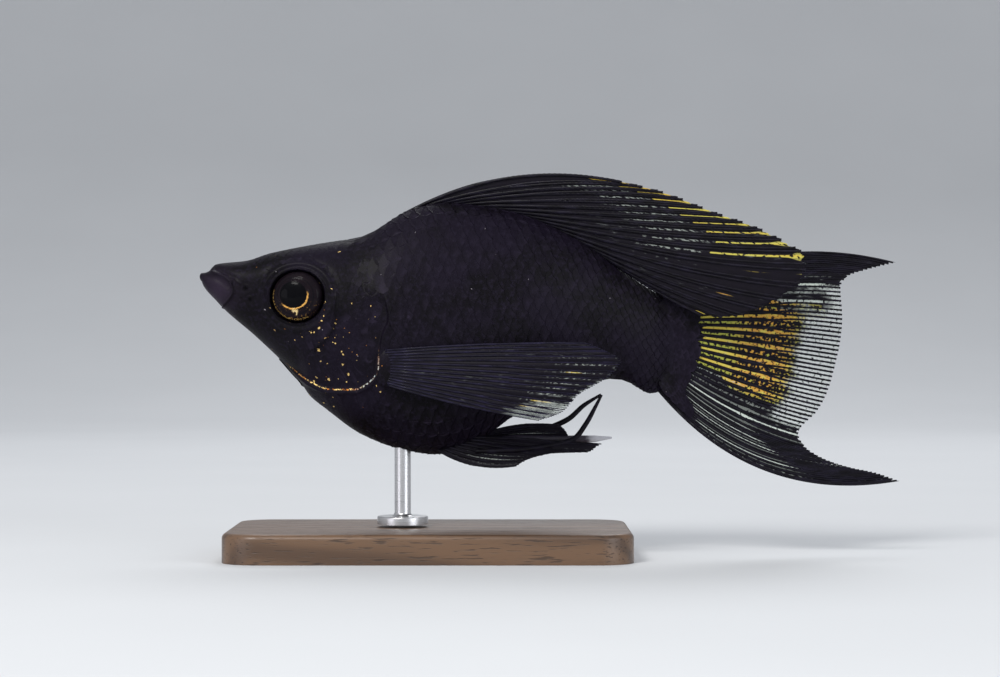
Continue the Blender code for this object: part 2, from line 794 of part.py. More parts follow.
def stand_base(parts):
    bm = bmesh.new()
    bmesh.ops.create_cube(bm, size=1.0)
    bmesh.ops.scale(bm, verts=bm.verts, vec=(BASE_LENGTH, BASE_BREADTH, BASE_HEIGHT))
    bmesh.ops.translate(bm, verts=bm.verts, vec=(0.0, 0.0, BASE_HEIGHT / 2.0))
    middle = 0.5 * BASE_HEIGHT
    posts = [e for e in bm.edges if e.verts[0].co.z < middle < e.verts[1].co.z
             or e.verts[1].co.z < middle < e.verts[0].co.z]
    bmesh.ops.bevel(bm, geom=posts, offset=BASE_CORNER, segments=BASE_CORNER_STEPS, profile=0.5,
                    affect="EDGES", material=-1)
    top_edges = [e for e in bm.edges if all(v.co.z > middle for v in e.verts)]
    bmesh.ops.bevel(bm, geom=top_edges, offset=BASE_CHAMFER, segments=BASE_CHAMFER_STEPS,
                    profile=0.5, affect="EDGES", material=-1)
    object_of("stand_base", bm, parts)


def stand_rod(parts):
    foot = BASE_HEIGHT + GAP
    shoulder = foot + COLLAR_HEIGHT
    top = belly(ROD_PLACE) + ROD_IN_BODY
    profile = (
        (0.0, top),
        (ROD_RADIUS - ROD_TIP_CHAMFER, top),
        (ROD_RADIUS, top - ROD_TIP_CHAMFER),
        (ROD_RADIUS, shoulder + COLLAR_FILLET),
        (ROD_RADIUS + COLLAR_FILLET, shoulder),
        (COLLAR_RADIUS - COLLAR_CHAMFER, shoulder),
        (COLLAR_RADIUS, shoulder - COLLAR_CHAMFER),
        (COLLAR_RADIUS, foot),
        (0.0, foot),
    )
    bm = bmesh.new()
    stops = [bm.verts.new((radius, 0.0, z)) for radius, z in profile]
    for pair in zip(stops, stops[1:]):
        bm.edges.new(pair)
    bmesh.ops.spin(bm, geom=bm.verts[:] + bm.edges[:], cent=(0.0, 0.0, 0.0),
                   axis=(0.0, 0.0, 1.0), angle=math.tau, steps=ROD_STEPS, use_merge=True)
    bmesh.ops.remove_doubles(bm, verts=bm.verts, dist=WELD)
    bmesh.ops.translate(bm, verts=bm.verts, vec=(ROD_PLACE, 0.0, 0.0))
    object_of("stand_rod", bm, parts)


def finish(thing, colour, roughness, metallic):
    material = bpy.data.materials.new(thing.name + " finish")
    material.use_nodes = True
    shader = material.node_tree.nodes["Principled BSDF"]
    shader.inputs["Base Color"].default_value = (*colour, 1.0)
    shader.inputs["Roughness"].default_value = roughness
    shader.inputs["Metallic"].default_value = metallic
    thing.data.materials.clear()
    thing.data.materials.append(material)


def main():
    for thing in list(bpy.data.objects):
        bpy.data.objects.remove(thing)
    parts = bpy.data.collections.new("shortfin molly")
    tools = bpy.data.collections.new("cutters")
    bpy.context.scene.collection.children.link(parts)
    bpy.context.scene.collection.children.link(tools)
    body(parts, tools)
    eyes(parts)
    fins(parts, tools)
    stand_base(parts)
    stand_rod(parts)
    for thing in parts.objects:
        finish(thing, *FINISHES[thing.name])
        thing.data.shade_smooth()
        thing.data.set_sharp_from_angle(angle=SHARP_ANGLE)


main()
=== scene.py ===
# %% [markdown]
# # A black lyretail molly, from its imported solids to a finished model
#
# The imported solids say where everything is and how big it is: a fish 78 mm long on a small
# stand. This lesson gives them their looks: skin and scales, fins of thin web and jointed rays,
# eyes and a finished stand. Sizes are in millimetres, in the frame of the solids: the head
# points to -X, the left side to -Y and the underside of the stand is at height 0.

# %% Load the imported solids
import math

import bmesh
import bpy
import numpy as np
from mathutils import Matrix, Vector


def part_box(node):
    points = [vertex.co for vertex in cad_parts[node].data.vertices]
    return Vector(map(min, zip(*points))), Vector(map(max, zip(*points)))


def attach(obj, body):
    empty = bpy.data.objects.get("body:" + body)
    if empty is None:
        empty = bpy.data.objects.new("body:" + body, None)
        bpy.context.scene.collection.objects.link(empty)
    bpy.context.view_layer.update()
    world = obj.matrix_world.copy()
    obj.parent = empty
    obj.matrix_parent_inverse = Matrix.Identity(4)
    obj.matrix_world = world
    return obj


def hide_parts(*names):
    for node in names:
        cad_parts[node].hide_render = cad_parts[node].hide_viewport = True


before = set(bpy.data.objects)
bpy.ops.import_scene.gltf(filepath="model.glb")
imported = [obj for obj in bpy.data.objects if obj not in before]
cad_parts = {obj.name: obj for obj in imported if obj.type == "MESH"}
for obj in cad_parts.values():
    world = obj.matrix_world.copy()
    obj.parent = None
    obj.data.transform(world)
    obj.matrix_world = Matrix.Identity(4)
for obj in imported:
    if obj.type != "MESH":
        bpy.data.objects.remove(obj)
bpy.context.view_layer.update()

MM = 0.001

# %% [markdown]
# ## From a bmesh to a piece
#
# Every piece is shaped as a bmesh in millimetres. A helper turns it to metres and makes it an
# object at the origin. The place stays in the mesh, so a pattern that reads Object coordinates
# sits where it should. Skin and webs start as a flat grid, which is then bent into its form:
# that is simpler than building a curved sheet face by face, and the grid is its own unwrap.

# %% Helpers that turn a bmesh into a piece
def link(name, data):
    thing = bpy.data.objects.new(name, data)
    bpy.context.scene.collection.objects.link(thing)
    return thing


def new_object(name, bm, sharp=None):
    """An object of a bmesh in millimetres, smooth apart from edges over the sharp angle."""
    bmesh.ops.scale(bm, vec=(MM, MM, MM), verts=bm.verts)
    mesh = bpy.data.meshes.new(name)
    bm.to_mesh(mesh)
    bm.free()
    mesh.shade_smooth()
    if sharp is not None:
        mesh.set_sharp_from_angle(angle=math.radians(sharp))
    return link(name, mesh)


def hang(thing, finish, slot, *stands_for):
    """Gives a piece its finish, rides it on the fish and hides the solids it stands for."""
    thing.data.materials.clear()
    thing.data.materials.append(finish)
    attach(thing, "root")
    if stands_for:
        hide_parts(*stands_for)
    faces = sum(len(face.vertices) - 2 for face in thing.data.polygons)
    print(f"{thing.name}: {faces} triangles")


# %% Helpers for flat grids
def flat_grid(columns, rows):
    """A flat grid, and each point's shares of the way along and across it."""
    bm = bmesh.new()
    bmesh.ops.create_grid(bm, x_segments=columns, y_segments=rows, size=1.0)
    return bm, np.array([vert.co.xy for vert in bm.verts]) * 0.5 + 0.5


def bend(bm, places):
    for vert, place in zip(bm.verts, places):
        vert.co = place


def keep_uv(bm, name, places):
    """Keeps a flat place for each point as a UV map."""
    layer = bm.loops.layers.uv.new(name)
    for face in bm.faces:
        for loop in face.loops:
            loop[layer].uv = places[loop.vert.index]


# %% [markdown]
# ## The camera
#
# The photo is taken square to the fish's left side through a long lens. A 100 mm lens a foot
# away gives that flat look, and puts every pixel of a 1000 x 677 picture on 0.11 mm in the
# plane through the middle of the fish. It stays a little above the stand's floor.

# %% Set up the camera
CAMERA_PLACE = (7.7, -305.6, 23.9)
LENS = 100.0
SENSOR = 36.0
NEAREST = 10.0

lens = bpy.data.cameras.new("camera")
lens.lens = LENS
lens.sensor_width = SENSOR
lens.clip_start = NEAREST * MM
camera = link("camera", lens)
camera.location = Vector(CAMERA_PLACE) * MM
camera.rotation_euler = (math.radians(90.0), 0.0, 0.0)
bpy.context.scene.camera = camera
print("camera at", CAMERA_PLACE)

# %% [markdown]
# ## Materials as small recipes
#
# A finish is a Principled shader with a few nodes in front of it. Wiring nodes by hand hides
# what a recipe does, so each is mixed in a pot here, and what a node gives can be added and
# multiplied like a number. Patterns read Object coordinates in millimetres, so the numbers in a
# recipe are the sizes of the marks on the fish.

# %% What a node gives, used like a number
class Value:
    def __init__(self, pot, socket):
        self.pot = pot
        self.socket = socket

    def __add__(self, other):
        return self.pot.math("ADD", self, other)

    def __sub__(self, other):
        return self.pot.math("SUBTRACT", self, other)

    def __rsub__(self, other):
        return self.pot.math("SUBTRACT", other, self)

    def __mul__(self, other):
        return self.pot.math("MULTIPLY", self, other)

    def __lt__(self, other):
        return self.pot.math("LESS_THAN", self, other)

    def __abs__(self):
        return self.pot.math("ABSOLUTE", self)

    def step(self, low, high):
        """A soft step from 0 at low to 1 at high, and high may be the lower of the two."""
        return self.pot.node("MapRange", self, settings={"interpolation_type": "SMOOTHSTEP"},
                             From_Min=min(low, high), From_Max=max(low, high),
                             To_Min=float(low > high), To_Max=float(low < high))


# %% The pot that a finish is mixed in
class Pot:
    """A material under way."""

    def __init__(self, name, **constants):
        self.material = bpy.data.materials.new(name)
        self.material.use_nodes = True
        self.tree = self.material.node_tree
        self.shader = self.tree.nodes["Principled BSDF"]
        for socket, value in constants.items():
            self.shader.inputs[socket.replace("_", " ")].default_value = value
        self.mm = self.node("VectorMath", self.node("TexCoord", output="Object"), Scale=1.0 / MM,
                            settings={"operation": "SCALE"})

    def wire(self, source, socket):
        """Feeds a socket from a node, a number or a colour."""
        if isinstance(source, Value):
            self.tree.links.new(source.socket, socket)
        elif isinstance(source, tuple) and socket.type == "RGBA":
            socket.default_value = (*source, 1.0)
        else:
            socket.default_value = source

    def node(self, kind, *sources, output=0, settings=None, **sockets):
        """Adds a node, feeds it in order and by name, and gives one of its outputs."""
        made = self.tree.nodes.new("ShaderNode" + kind)
        for name, value in (settings or {}).items():
            setattr(made, name, value)
        for source, socket in zip(sources, made.inputs):
            self.wire(source, socket)
        for name, source in sockets.items():
            self.wire(source, made.inputs[name.replace("_", " ")])
        return Value(self, made.outputs[output])

    def math(self, operation, *sources):
        return self.node("Math", *sources, settings={"operation": operation})

    def axis(self, name, at=None):
        """One coordinate, of the place in millimetres if no other is given."""
        return self.node("SeparateXYZ", at or self.mm, output=name)

    def noise(self, scale, detail=2.0, at=None, stretch=None, output="Fac"):
        """Soft noise, with about `scale` lumps a millimetre."""
        place = at or self.mm
        if stretch is not None:
            place = self.node("VectorMath", place, stretch, settings={"operation": "MULTIPLY"})
        return self.node("TexNoise", Vector=place, Scale=scale, Detail=detail, output=output)

    def cells(self, scale, at):
        """Scattered points: how far each place is from its point, and two random numbers."""
        distance = self.node("TexVoronoi", Vector=at, Scale=scale, output="Distance")
        random = Value(self, distance.socket.node.outputs["Color"])
        red, green = (self.node("SeparateColor", random, output=name) for name in ("Red", "Green"))
        return distance, red, green

    def mark(self, name):
        """A value that the mesh carries at its points."""
        return self.node("Attribute", output="Fac", settings={"attribute_name": name})

    def mix(self, share, a, b):
        return self.node("Mix", settings={"data_type": "RGBA"}, Factor=share, A=a, B=b,
                         output="Result")

    def bump(self, height, depth, strength=1.0):
        """Small relief: depth is the height of a full step, in millimetres."""
        return self.node("Bump", Distance=depth * MM, Strength=strength, Height=height)

    def give(self, **sockets):
        for socket, source in sockets.items():
            self.wire(source, self.shader.inputs[socket.replace("_", " ")])


# %% [markdown]
# ## Floor, backdrop and light
#
# A near-black fish needs soft light from several sides, or its form is lost: a large key lamp
# from above and in front, a weaker one from the tail side, and one behind that draws the line
# of its back. The floor is a pale sheet that bends up behind into a backdrop. It is a grid laid
# along a line with a round corner, so that no horizon shows.

# %% Roll the floor up into a backdrop
FLOOR_HALF_WIDTH = 1600.0
FLOOR_FRONT = -900.0
FLOOR_BACK = 420.0
CORNER_RADIUS = 600.0
BACKDROP_TOP = 1000.0
BACKDROP_STEPS = 96
FLOOR_CLEARANCE = 0.02


def backdrop_place(share):
    """Place (y, z) on the floor's section at a share of the way along it."""
    flat = FLOOR_BACK - FLOOR_FRONT
    corner = CORNER_RADIUS * math.pi / 2.0
    distance = share * (flat + corner + BACKDROP_TOP)
    angle = min(max((distance - flat) / CORNER_RADIUS, 0.0), math.pi / 2.0)
    y = FLOOR_FRONT + min(distance, flat) + CORNER_RADIUS * math.sin(angle)
    z = CORNER_RADIUS * (1.0 - math.cos(angle)) + max(distance - flat - corner, 0.0)
    return y, z - FLOOR_CLEARANCE


paper = Pot("pale paper", Roughness=0.9, Specular_IOR_Level=0.2)
paper.give(Base_Color=paper.mix(paper.noise(0.02), (0.62, 0.635, 0.65), (0.66, 0.675, 0.69)))
sheet, shares = flat_grid(1, BACKDROP_STEPS)
bend(sheet, [((2.0 * across - 1.0) * FLOOR_HALF_WIDTH, *backdrop_place(along)) for across, along in shares])
floor = new_object("backdrop", sheet)
floor.data.materials.append(paper.material)

# %% Hang the lamps
LAMPS = (
    # name, place, aim, size, power in watts, colour
    ("key", (-170.0, -330.0, 330.0), (5.0, 0.0, 25.0), 170.0, 1.5, (1.0, 0.985, 0.96)),
    ("fill", (330.0, -260.0, 120.0), (10.0, 0.0, 22.0), 280.0, 0.55, (0.93, 0.96, 1.0)),
    ("back", (60.0, 380.0, 420.0), (10.0, 0.0, 25.0), 300.0, 1.1, (0.97, 0.98, 1.0)),
    ("low", (-260.0, -200.0, 30.0), (-10.0, 0.0, 25.0), 160.0, 0.12, (0.95, 0.93, 1.0)),
)
WORLD_COLOUR = (0.93, 0.95, 1.0, 1.0)
WORLD_LIGHT = 0.55

for name, place, aim, size, power, colour in LAMPS:
    lamp = bpy.data.lights.new(name, "AREA")
    lamp.shape = "DISK"
    lamp.size = size * MM
    lamp.energy = power
    lamp.color = colour
    holder = link(name, lamp)
    holder.location = Vector(place) * MM
    holder.rotation_euler = (Vector(aim) - Vector(place)).to_track_quat("-Z", "Y").to_euler()

world = bpy.data.worlds.new("studio")
world.use_nodes = True
glow = world.node_tree.nodes["Background"].inputs
glow["Color"].default_value = WORLD_COLOUR
glow["Strength"].default_value = WORLD_LIGHT
bpy.context.scene.world = world
bpy.context.scene.view_settings.view_transform = "Standard"
print("lamps:", len(LAMPS))

# %% [markdown]
# ## The lines of the body
#
# A fish's body is given by a few lines along it: its back, its belly, its half breadth, how
# high its broadest line runs, and how boxy its section is above and below that line. The packed
# solids were lofted from the same lines, apart from a blunter tip of the jaw here, so the skin
# lands on them. Each line is a smooth curve through its points that never swings past them.

# %% The body's lines
JAW_TIP = -25.1
STALK_END = 24.7
FLESH_END = 27.2
TAIL_TIP = 52.6
SWAY_START = 5.0
SWAY = 4.0
BACK = (
    (JAW_TIP, 31.1), (-24.6, 31.2), (-24.25, 31.35), (-23.95, 31.8), (-23.6, 32.05), (-22.6, 32.2),
    (-20.2, 32.45), (-17.4, 33.3), (-9.3, 34.75), (-7.9, 34.9), (-2.2, 38.0), (1.2, 38.8),
    (7.7, 38.1), (17.3, 34.3), (21.9, 30.7), (STALK_END, 29.2), (FLESH_END, 28.5),
)
BELLY = (
    (JAW_TIP, 30.2), (-24.85, 29.6), (-23.6, 28.15), (-22.5, 27.0), (-18.9, 23.9),
    (-14.4, 19.35), (-13.2, 17.6), (-11.5, 16.2), (-7.4, 13.3), (-3.3, 11.8), (0.6, 11.2),
    (3.9, 12.0), (9.5, 15.6), (14.3, 18.0), (20.6, 19.6), (STALK_END, 17.9), (FLESH_END, 18.2),
)
HALF_BREADTH = (
    (JAW_TIP, 1.1), (-24.6, 1.7), (-23.4, 2.3), (-20.0, 3.25), (-14.4, 4.7), (-9.0, 5.6),
    (-3.0, 6.0), (3.0, 5.8), (10.0, 4.9), (17.3, 3.4), (STALK_END, 1.5), (FLESH_END, 0.35),
)
WAIST = ((JAW_TIP, 0.6), (-20.0, 0.62), (-14.4, 0.58), (-7.0, 0.5), (5.0, 0.48), (STALK_END, 0.5))
CROWN = ((JAW_TIP, 2.4), (-14.4, 2.5), (-7.0, 2.1), (0.0, 1.9), (STALK_END, 2.0))
KEEL = ((JAW_TIP, 2.2), (-14.4, 1.8), (-7.0, 1.9), (2.0, 2.1), (STALK_END, 2.0))


def line_through(points):
    """A smooth line through (place, value) points, read at a number or a whole array."""
    places, values = np.array(points, dtype=float).T
    runs = np.diff(places)
    steps = np.diff(values) / runs
    slopes = np.concatenate((steps[:1], steps))
    for i in range(1, len(steps)):
        before, after = steps[i - 1], steps[i]
        slopes[i] = 2.0 * before * after / (before + after) if before * after > 0.0 else 0.0

    def value(place):
        i = np.clip(np.searchsorted(places, place) - 1, 0, len(runs) - 1)
        t = (place - places[i]) / runs[i]
        rise = values[i + 1] - values[i]
        ease = t * t * (3.0 - 2.0 * t)
        bend_in = t * (1.0 - t) ** 2 * runs[i] * slopes[i]
        bend_out = t * t * (t - 1.0) * runs[i] * slopes[i + 1]
        return values[i] + rise * ease + bend_in + bend_out

    return value


def path_through(points):
    """A smooth path through points, read from 0 at its start to 1 at its end."""
    stops = np.array(points, dtype=float)
    lengths = np.concatenate(([0.0], np.cumsum(np.linalg.norm(np.diff(stops, axis=0), axis=1))))
    lines = [line_through(list(zip(lengths / lengths[-1], axis))) for axis in stops.T]
    return lambda share: np.stack([line(share) for line in lines], axis=-1)


back, belly, half_breadth = line_through(BACK), line_through(BELLY), line_through(HALF_BREADTH)
waist_share, crown, keel = line_through(WAIST), line_through(CROWN), line_through(KEEL)
print("deepest", round(float(back(0.6) - belly(0.6)), 1), "mm, broadest", 2 * half_breadth(-3.0), "mm")

# %% [markdown]
# ## Where a place on the skin is
#
# A place on the skin is named by how far along the body it is and by its share of the way
# round, from the belly up the left side to the back at one half, and down the right side. An
# angle would bunch the rows of scales on the flat flanks, so the way round is measured with a
# tape, laid once round many sections and read from that table.

# %% Sections of the body, measured by the tape
TAPE_STATIONS = 160
TAPE_TURNS = 241
TAPE_MARKS = 121
TAIL_ROUNDING = 1.5
ROUNDING_START = STALK_END - 3.0
NORMAL_STEPS = (0.05, 0.0015)


def sway(x):
    """How far the swimming bend carries the body's middle to the right."""
    return SWAY * np.maximum(0.0, (x - SWAY_START) / (TAIL_TIP - SWAY_START)) ** 2


def section_point(x, turn):
    """A point of the section at x: turn is 0 on the left side and a quarter turn on the back."""
    x = np.asarray(x, dtype=float)
    across, up = np.cos(turn), np.sin(turn)
    waist = belly(x) + waist_share(x) * (back(x) - belly(x))
    power = 2.0 / np.where(up > 0.0, crown(x), keel(x))
    height = np.where(up > 0.0, back(x), belly(x)) - waist
    y = -np.sign(across) * np.abs(across) ** power * half_breadth(x)
    near_tail = np.clip((x - ROUNDING_START) / (FLESH_END - ROUNDING_START), 0.0, 1.0)
    rounding = TAIL_ROUNDING * near_tail**2 * np.abs(up) ** 3
    return np.stack([x - rounding, sway(x) + y, waist + height * np.abs(up) ** power], axis=-1)


def tape_table():
    """For each section, the turns at even steps of the tape from the belly to the back."""
    turns = np.linspace(-math.pi / 2.0, math.pi / 2.0, TAPE_TURNS)
    table = []
    for x in np.linspace(JAW_TIP, FLESH_END, TAPE_STATIONS):
        ring = section_point(np.full(TAPE_TURNS, x), turns)
        steps = np.linalg.norm(np.diff(ring, axis=0), axis=1)
        tape = np.concatenate(([0.0], np.cumsum(steps)))
        table.append(np.interp(np.linspace(0.0, tape[-1], TAPE_MARKS), tape, turns))
    return np.array(table)


TAPE = tape_table()


def bare_skin(x, share):
    """Points of the plain body at places x and shares of the way round."""
    x, share = np.broadcast_arrays(np.asarray(x, dtype=float), np.asarray(share, dtype=float))
    left = share <= 0.5
    side_share = np.clip(np.where(left, 2.0 * share, 2.0 * (1.0 - share)), 0.0, 1.0)
    row = np.clip((x - JAW_TIP) / (FLESH_END - JAW_TIP), 0.0, 1.0) * (TAPE_STATIONS - 1)
    mark = side_share * (TAPE_MARKS - 1)
    i = np.minimum(row.astype(int), TAPE_STATIONS - 2)
    j = np.minimum(mark.astype(int), TAPE_MARKS - 2)
    a, b = row - i, mark - j
    turn = ((1 - a) * (1 - b) * TAPE[i, j] + a * (1 - b) * TAPE[i + 1, j]
            + (1 - a) * b * TAPE[i, j + 1] + a * b * TAPE[i + 1, j + 1])
    return section_point(x, np.where(left, turn, math.pi - turn))


def skin_normal(surface, x, share):
    """Outward directions of a surface of (x, share)."""
    step_x, step_share = NORMAL_STEPS
    along = surface(x + step_x, share) - surface(x - step_x, share)
    around = surface(x, share + step_share) - surface(x, share - step_share)
    normal = np.cross(around, along)
    return normal / np.maximum(np.linalg.norm(normal, axis=-1, keepdims=True), 1e-9)


test = bare_skin(np.zeros(3), np.array([0.0, 0.25, 0.5]))
print("belly, flank and back at x 0:", np.round(test, 2).tolist())

# %% [markdown]
# ## Relief of the head
#
# The head carries what names the fish from close by: the mouth's slit with its lips, two
# nostrils and a small pore on each side, the fold round the eye's socket, the groove in front
# of the gill cover, and the gill cover's own edge, which stands proud of the skin behind it.
# Sculpting would do it by hand. Here it is worked out from the distance to a few lines drawn on
# the side of the head, so that both sides match and every size has a name.

# %% Lines drawn on the head
EYE_PLACE = (-14.25, 28.45)
EYE_RADII = (2.85, 1.25, 2.7)
EYE_SQUASH = 0.95
EYE_OUT = 3.85
EYE_TURN = math.radians(12.0)
SOCKET_RADIUS = 2.98
SOCKET_LIP = (0.12, -0.02)
SOCKET_SINK = 0.05
SOCKET_ROOM = 0.25
MOUTH = ((-26.4, 31.3), (-24.5, 31.15), (-23.9, 31.15), (-22.5, 30.75), (-21.5, 30.0))
JAW_FOLD = ((-21.5, 30.0), (-21.3, 29.1), (-21.8, 28.2), (-22.5, 27.5))
CHEEK_FOLD = ((-22.1, 30.75), (-21.3, 30.4), (-20.7, 29.9))
UPPER_LIP = ((-23.75, 0.0, 31.5), (-23.5, 1.3, 31.5), (-22.7, 2.3, 31.15), (-21.6, 2.75, 30.3))
LOWER_LIP = ((-24.95, 0.0, 30.72), (-24.65, 1.3, 30.68), (-23.5, 2.2, 30.55), (-21.95, 2.7, 29.6))
NOSTRILS = ((-20.02, 29.5, 0.22), (-19.55, 28.3, 0.2), (-20.5, 28.4, 0.1))
GILL_EDGE = (
    (-5.6, 29.6), (-4.65, 27.6), (-4.4, 26.0), (-5.0, 24.4), (-5.3, 22.6), (-5.35, 20.8),
    (-6.3, 19.2), (-8.2, 18.3), (-10.8, 18.3), (-13.2, 19.2), (-14.9, 20.4), (-16.6, 21.9),
)
CHEEK_GROOVE = ((-9.9, 29.6), (-10.07, 27.2), (-10.1, 25.6), (-10.8, 24.2), (-11.8, 23.2), (-14.2, 21.9))
SHOULDER = ((-3.0, 29.3), (-2.8, 28.5), (-2.5, 26.0), (-2.56, 23.8))


def near_line(points, line, count=40):
    """Distance to a line in the side view, the side of it (+1 behind) and the share along it."""
    path = path_through(line)(np.linspace(0.0, 1.0, count))
    starts, runs = path[:-1], np.diff(path, axis=0)
    flat = points[..., [0, 2]][..., None, :]
    t = np.clip(((flat - starts) * runs).sum(-1) / (runs * runs).sum(-1), 0.0, 1.0)
    gaps = flat - (starts + t[..., None] * runs)
    distances = np.linalg.norm(gaps, axis=-1)
    best = distances.argmin(-1)[..., None]
    gap = np.take_along_axis(gaps, best[..., None], axis=-2)[..., 0, :]
    run = runs[best[..., 0]]
    side = np.sign(run[..., 1] * gap[..., 0] - run[..., 0] * gap[..., 1])
    share = (best[..., 0] + np.take_along_axis(t, best, axis=-1)[..., 0]) / (count - 1)
    return np.take_along_axis(distances, best, axis=-1)[..., 0], -side, share


def near_gill_edge(points):
    """Distance behind the gill cover's edge and the share along it, from its top."""
    gap, side, share = near_line(points, GILL_EDGE, 80)
    return gap * side, share


def near_path(points, line):
    """Distance in space to a path drawn on the right side, mirrored for the left."""
    path = path_through(line)(np.linspace(0.0, 1.0, 40))
    flat = np.stack([points[..., 0], np.abs(points[..., 1]), points[..., 2]], axis=-1)
    return np.linalg.norm(flat[..., None, :] - path, axis=-1).min(-1)


def hump(distance, width):
    return np.exp(-((distance / width) ** 2))


def step(value, low, high):
    """A soft step from 0 at low to 1 at high."""
    t = np.clip((value - low) / (high - low), 0.0, 1.0)
    return t * t * (3.0 - 2.0 * t)


def from_spot(points, x, z, squash=1.0):
    """Distance in the side view to a spot, with heights divided by squash."""
    return np.hypot(points[..., 0] - x, (points[..., 2] - z) / squash)


def eye_distance(points):
    return from_spot(points, *EYE_PLACE, EYE_SQUASH)


# %% Raise the relief
HEAD_SIDE = -0.5
LIP_HEIGHT, LIP_WIDTH = 0.22, 0.42
MOUTH_DEPTH, MOUTH_WIDTH = 0.30, 0.18
MOUTH_SHARP_FROM, MOUTH_SHARP_AT = -24.3, -23.4
FOLDS = (
    # line, depth, width
    (JAW_FOLD, 0.26, 0.18), (CHEEK_FOLD, 0.10, 0.14), (SHOULDER, 0.10, 0.18),
)
SOCKET_RINGS = (
    # distance from the eye's middle, height, width
    (3.3, 0.16, 0.26), (3.85, -0.10, 0.28), (4.4, 0.06, 0.3),
)
SOCKET_DIP = 0.3
NOSTRIL_RIM, NOSTRIL_DEPTH = 0.05, 1.4
COVER_HEIGHT, COVER_GROOVE = 0.34, 0.20
CHEEK_DEPTH, CHEEK_WIDTH, CHEEK_RIM = 0.26, 0.17, 0.09


def relief(points):
    """How far the skin stands out of the plain body."""
    out = np.zeros(points.shape[:-1])
    head = points[..., 0] < HEAD_SIDE
    near = points[head]
    if near.size == 0:
        return out
    rise = sum(LIP_HEIGHT * hump(near_path(near, lip), LIP_WIDTH) for lip in (UPPER_LIP, LOWER_LIP))
    slit = hump(near_line(near, MOUTH)[0], MOUTH_WIDTH)
    rise -= MOUTH_DEPTH * slit * step(near[..., 0], MOUTH_SHARP_FROM, MOUTH_SHARP_AT)
    for line, depth, width in FOLDS:
        rise -= depth * hump(near_line(near, line)[0], width)
    for x, z, radius in NOSTRILS:
        gap = from_spot(near, x, z)
        rim = NOSTRIL_RIM * hump(gap - 1.8 * radius, 0.8 * radius)
        rise += rim - NOSTRIL_DEPTH * radius * hump(gap, 0.85 * radius)
    ring = eye_distance(near)
    for radius, height, width in SOCKET_RINGS:
        rise += height * hump(ring - radius, width)
    rise -= SOCKET_DIP * step(ring, 3.5, 2.95)

    behind, share = near_gill_edge(near)
    cover = COVER_HEIGHT * step(behind, 0.10, -0.06) * (1.0 - step(-behind, 0.6, 4.2))
    fade = step(share, 0.0, 0.12) * step(share, 1.0, 0.8)
    rise += fade * (cover - COVER_GROOVE * hump(behind - 0.22, 0.24))
    gap, side, share = near_line(near, CHEEK_GROOVE)
    groove = CHEEK_RIM * hump(gap * side + 0.45, 0.35) - CHEEK_DEPTH * hump(gap, CHEEK_WIDTH)
    rise += groove * step(share, 0.0, 0.2) * step(share, 1.0, 0.75)
    out[head] = rise * step(near[..., 0], JAW_TIP, JAW_TIP + 0.7)
    return out


def skin(x, share):
    """Points of the finished skin, with the head's relief and the eyes' sockets."""
    plain = bare_skin(x, share)
    points = plain + skin_normal(bare_skin, x, share) * relief(plain)[..., None]
    ring = eye_distance(plain)
    bowl = np.sqrt(np.clip(1.0 - (ring / SOCKET_RADIUS) ** 2, 0.0, 1.0))
    rest = EYE_OUT + (plain[..., 0] - EYE_PLACE[0]) * math.tan(EYE_TURN)
    depth = rest - SOCKET_SINK - (EYE_RADII[1] + SOCKET_ROOM) * bowl
    inside = step(ring, SOCKET_RADIUS + SOCKET_LIP[0], SOCKET_RADIUS + SOCKET_LIP[1])
    target = np.sign(points[..., 1]) * np.minimum(np.abs(points[..., 1]), depth)
    points[..., 1] += inside * (target - points[..., 1])
    return points


# %% [markdown]
# ## The marks of the coat
#
# The fish is black all over, so the few marks matter: gold along the lower edge of the gill
# cover and in flecks on the cheek, a paler purple-grey on the jaw, and painted shade: a
# near-black in the nostrils, the jaw fold and the cheek groove, so that they read as dark
# hollows. They are worked out from the same lines as the relief and kept on the mesh as values
# at its points. Skin and scales both carry them, so the scales never change the colour of what
# lies under them.

# %% Work out the marks
CHEEK_MIDDLE, CHEEK_RADIUS = (-11.0, 23.5), 4.6
PALE_JAW, PALE_RADIUS = (-23.3, 28.9), 2.0


def marks_at(points):
    behind, share = near_gill_edge(points)
    # Painted shade: the nostrils, the jaw fold and the cheek groove are marked for a near-black, where shade
    # would fall.
    pit_shades = [hump(from_spot(points, x, z), radius) for x, z, radius in NOSTRILS]
    pit_shades.append(0.8 * hump(near_line(points, JAW_FOLD)[0], 0.12))
    groove, _, along = near_line(points, CHEEK_GROOVE)
    pit_shades.append(0.7 * hump(groove, 0.13) * step(along, 0.0, 0.2) * step(along, 1.0, 0.75))
    return {
        "edge": np.where(points[..., 0] < -1.0, np.clip(behind, -2.0, 2.0), 2.0),
        "gilt": step(share, 0.30, 0.46) * step(share, 0.97, 0.80),
        "silver": step(share, 0.60, 0.50),
        "cheek": hump(from_spot(points, *CHEEK_MIDDLE, 1.2), CHEEK_RADIUS),
        "pale": hump(from_spot(points, *PALE_JAW), PALE_RADIUS),
        "pit_shade": np.maximum.reduce(pit_shades),
    }


def set_marks(mesh, values):
    """Keeps values at a mesh's points under their names."""
    for name, numbers in values.items():
        layer = mesh.attributes.new(name, "FLOAT", "POINT")
        layer.data.foreach_set("value", np.ascontiguousarray(numbers, dtype=np.float32).ravel())


# %% [markdown]
# ## The skin
#
# The skin hides every seam between the solids of the flesh. It starts as a flat grid, one side
# for the length of the fish and the other for the way round. The grid is rolled into the body,
# its two long edges are welded under the belly and its ends are closed. Its columns are closest
# on the head, where the relief is fine.

# %% Roll the skin
HEAD_COLUMNS = 175
TRUNK_COLUMNS = 75
HEAD_END = -3.5
SKIN_ROWS = 224
UNWRAP_END = 31.0
UNWRAP_MARGIN = 0.01
WELD = 0.00002
JAW_ROUNDING = ((0.05, 0.07), (0.08, 0.05), (0.12, 0.03))


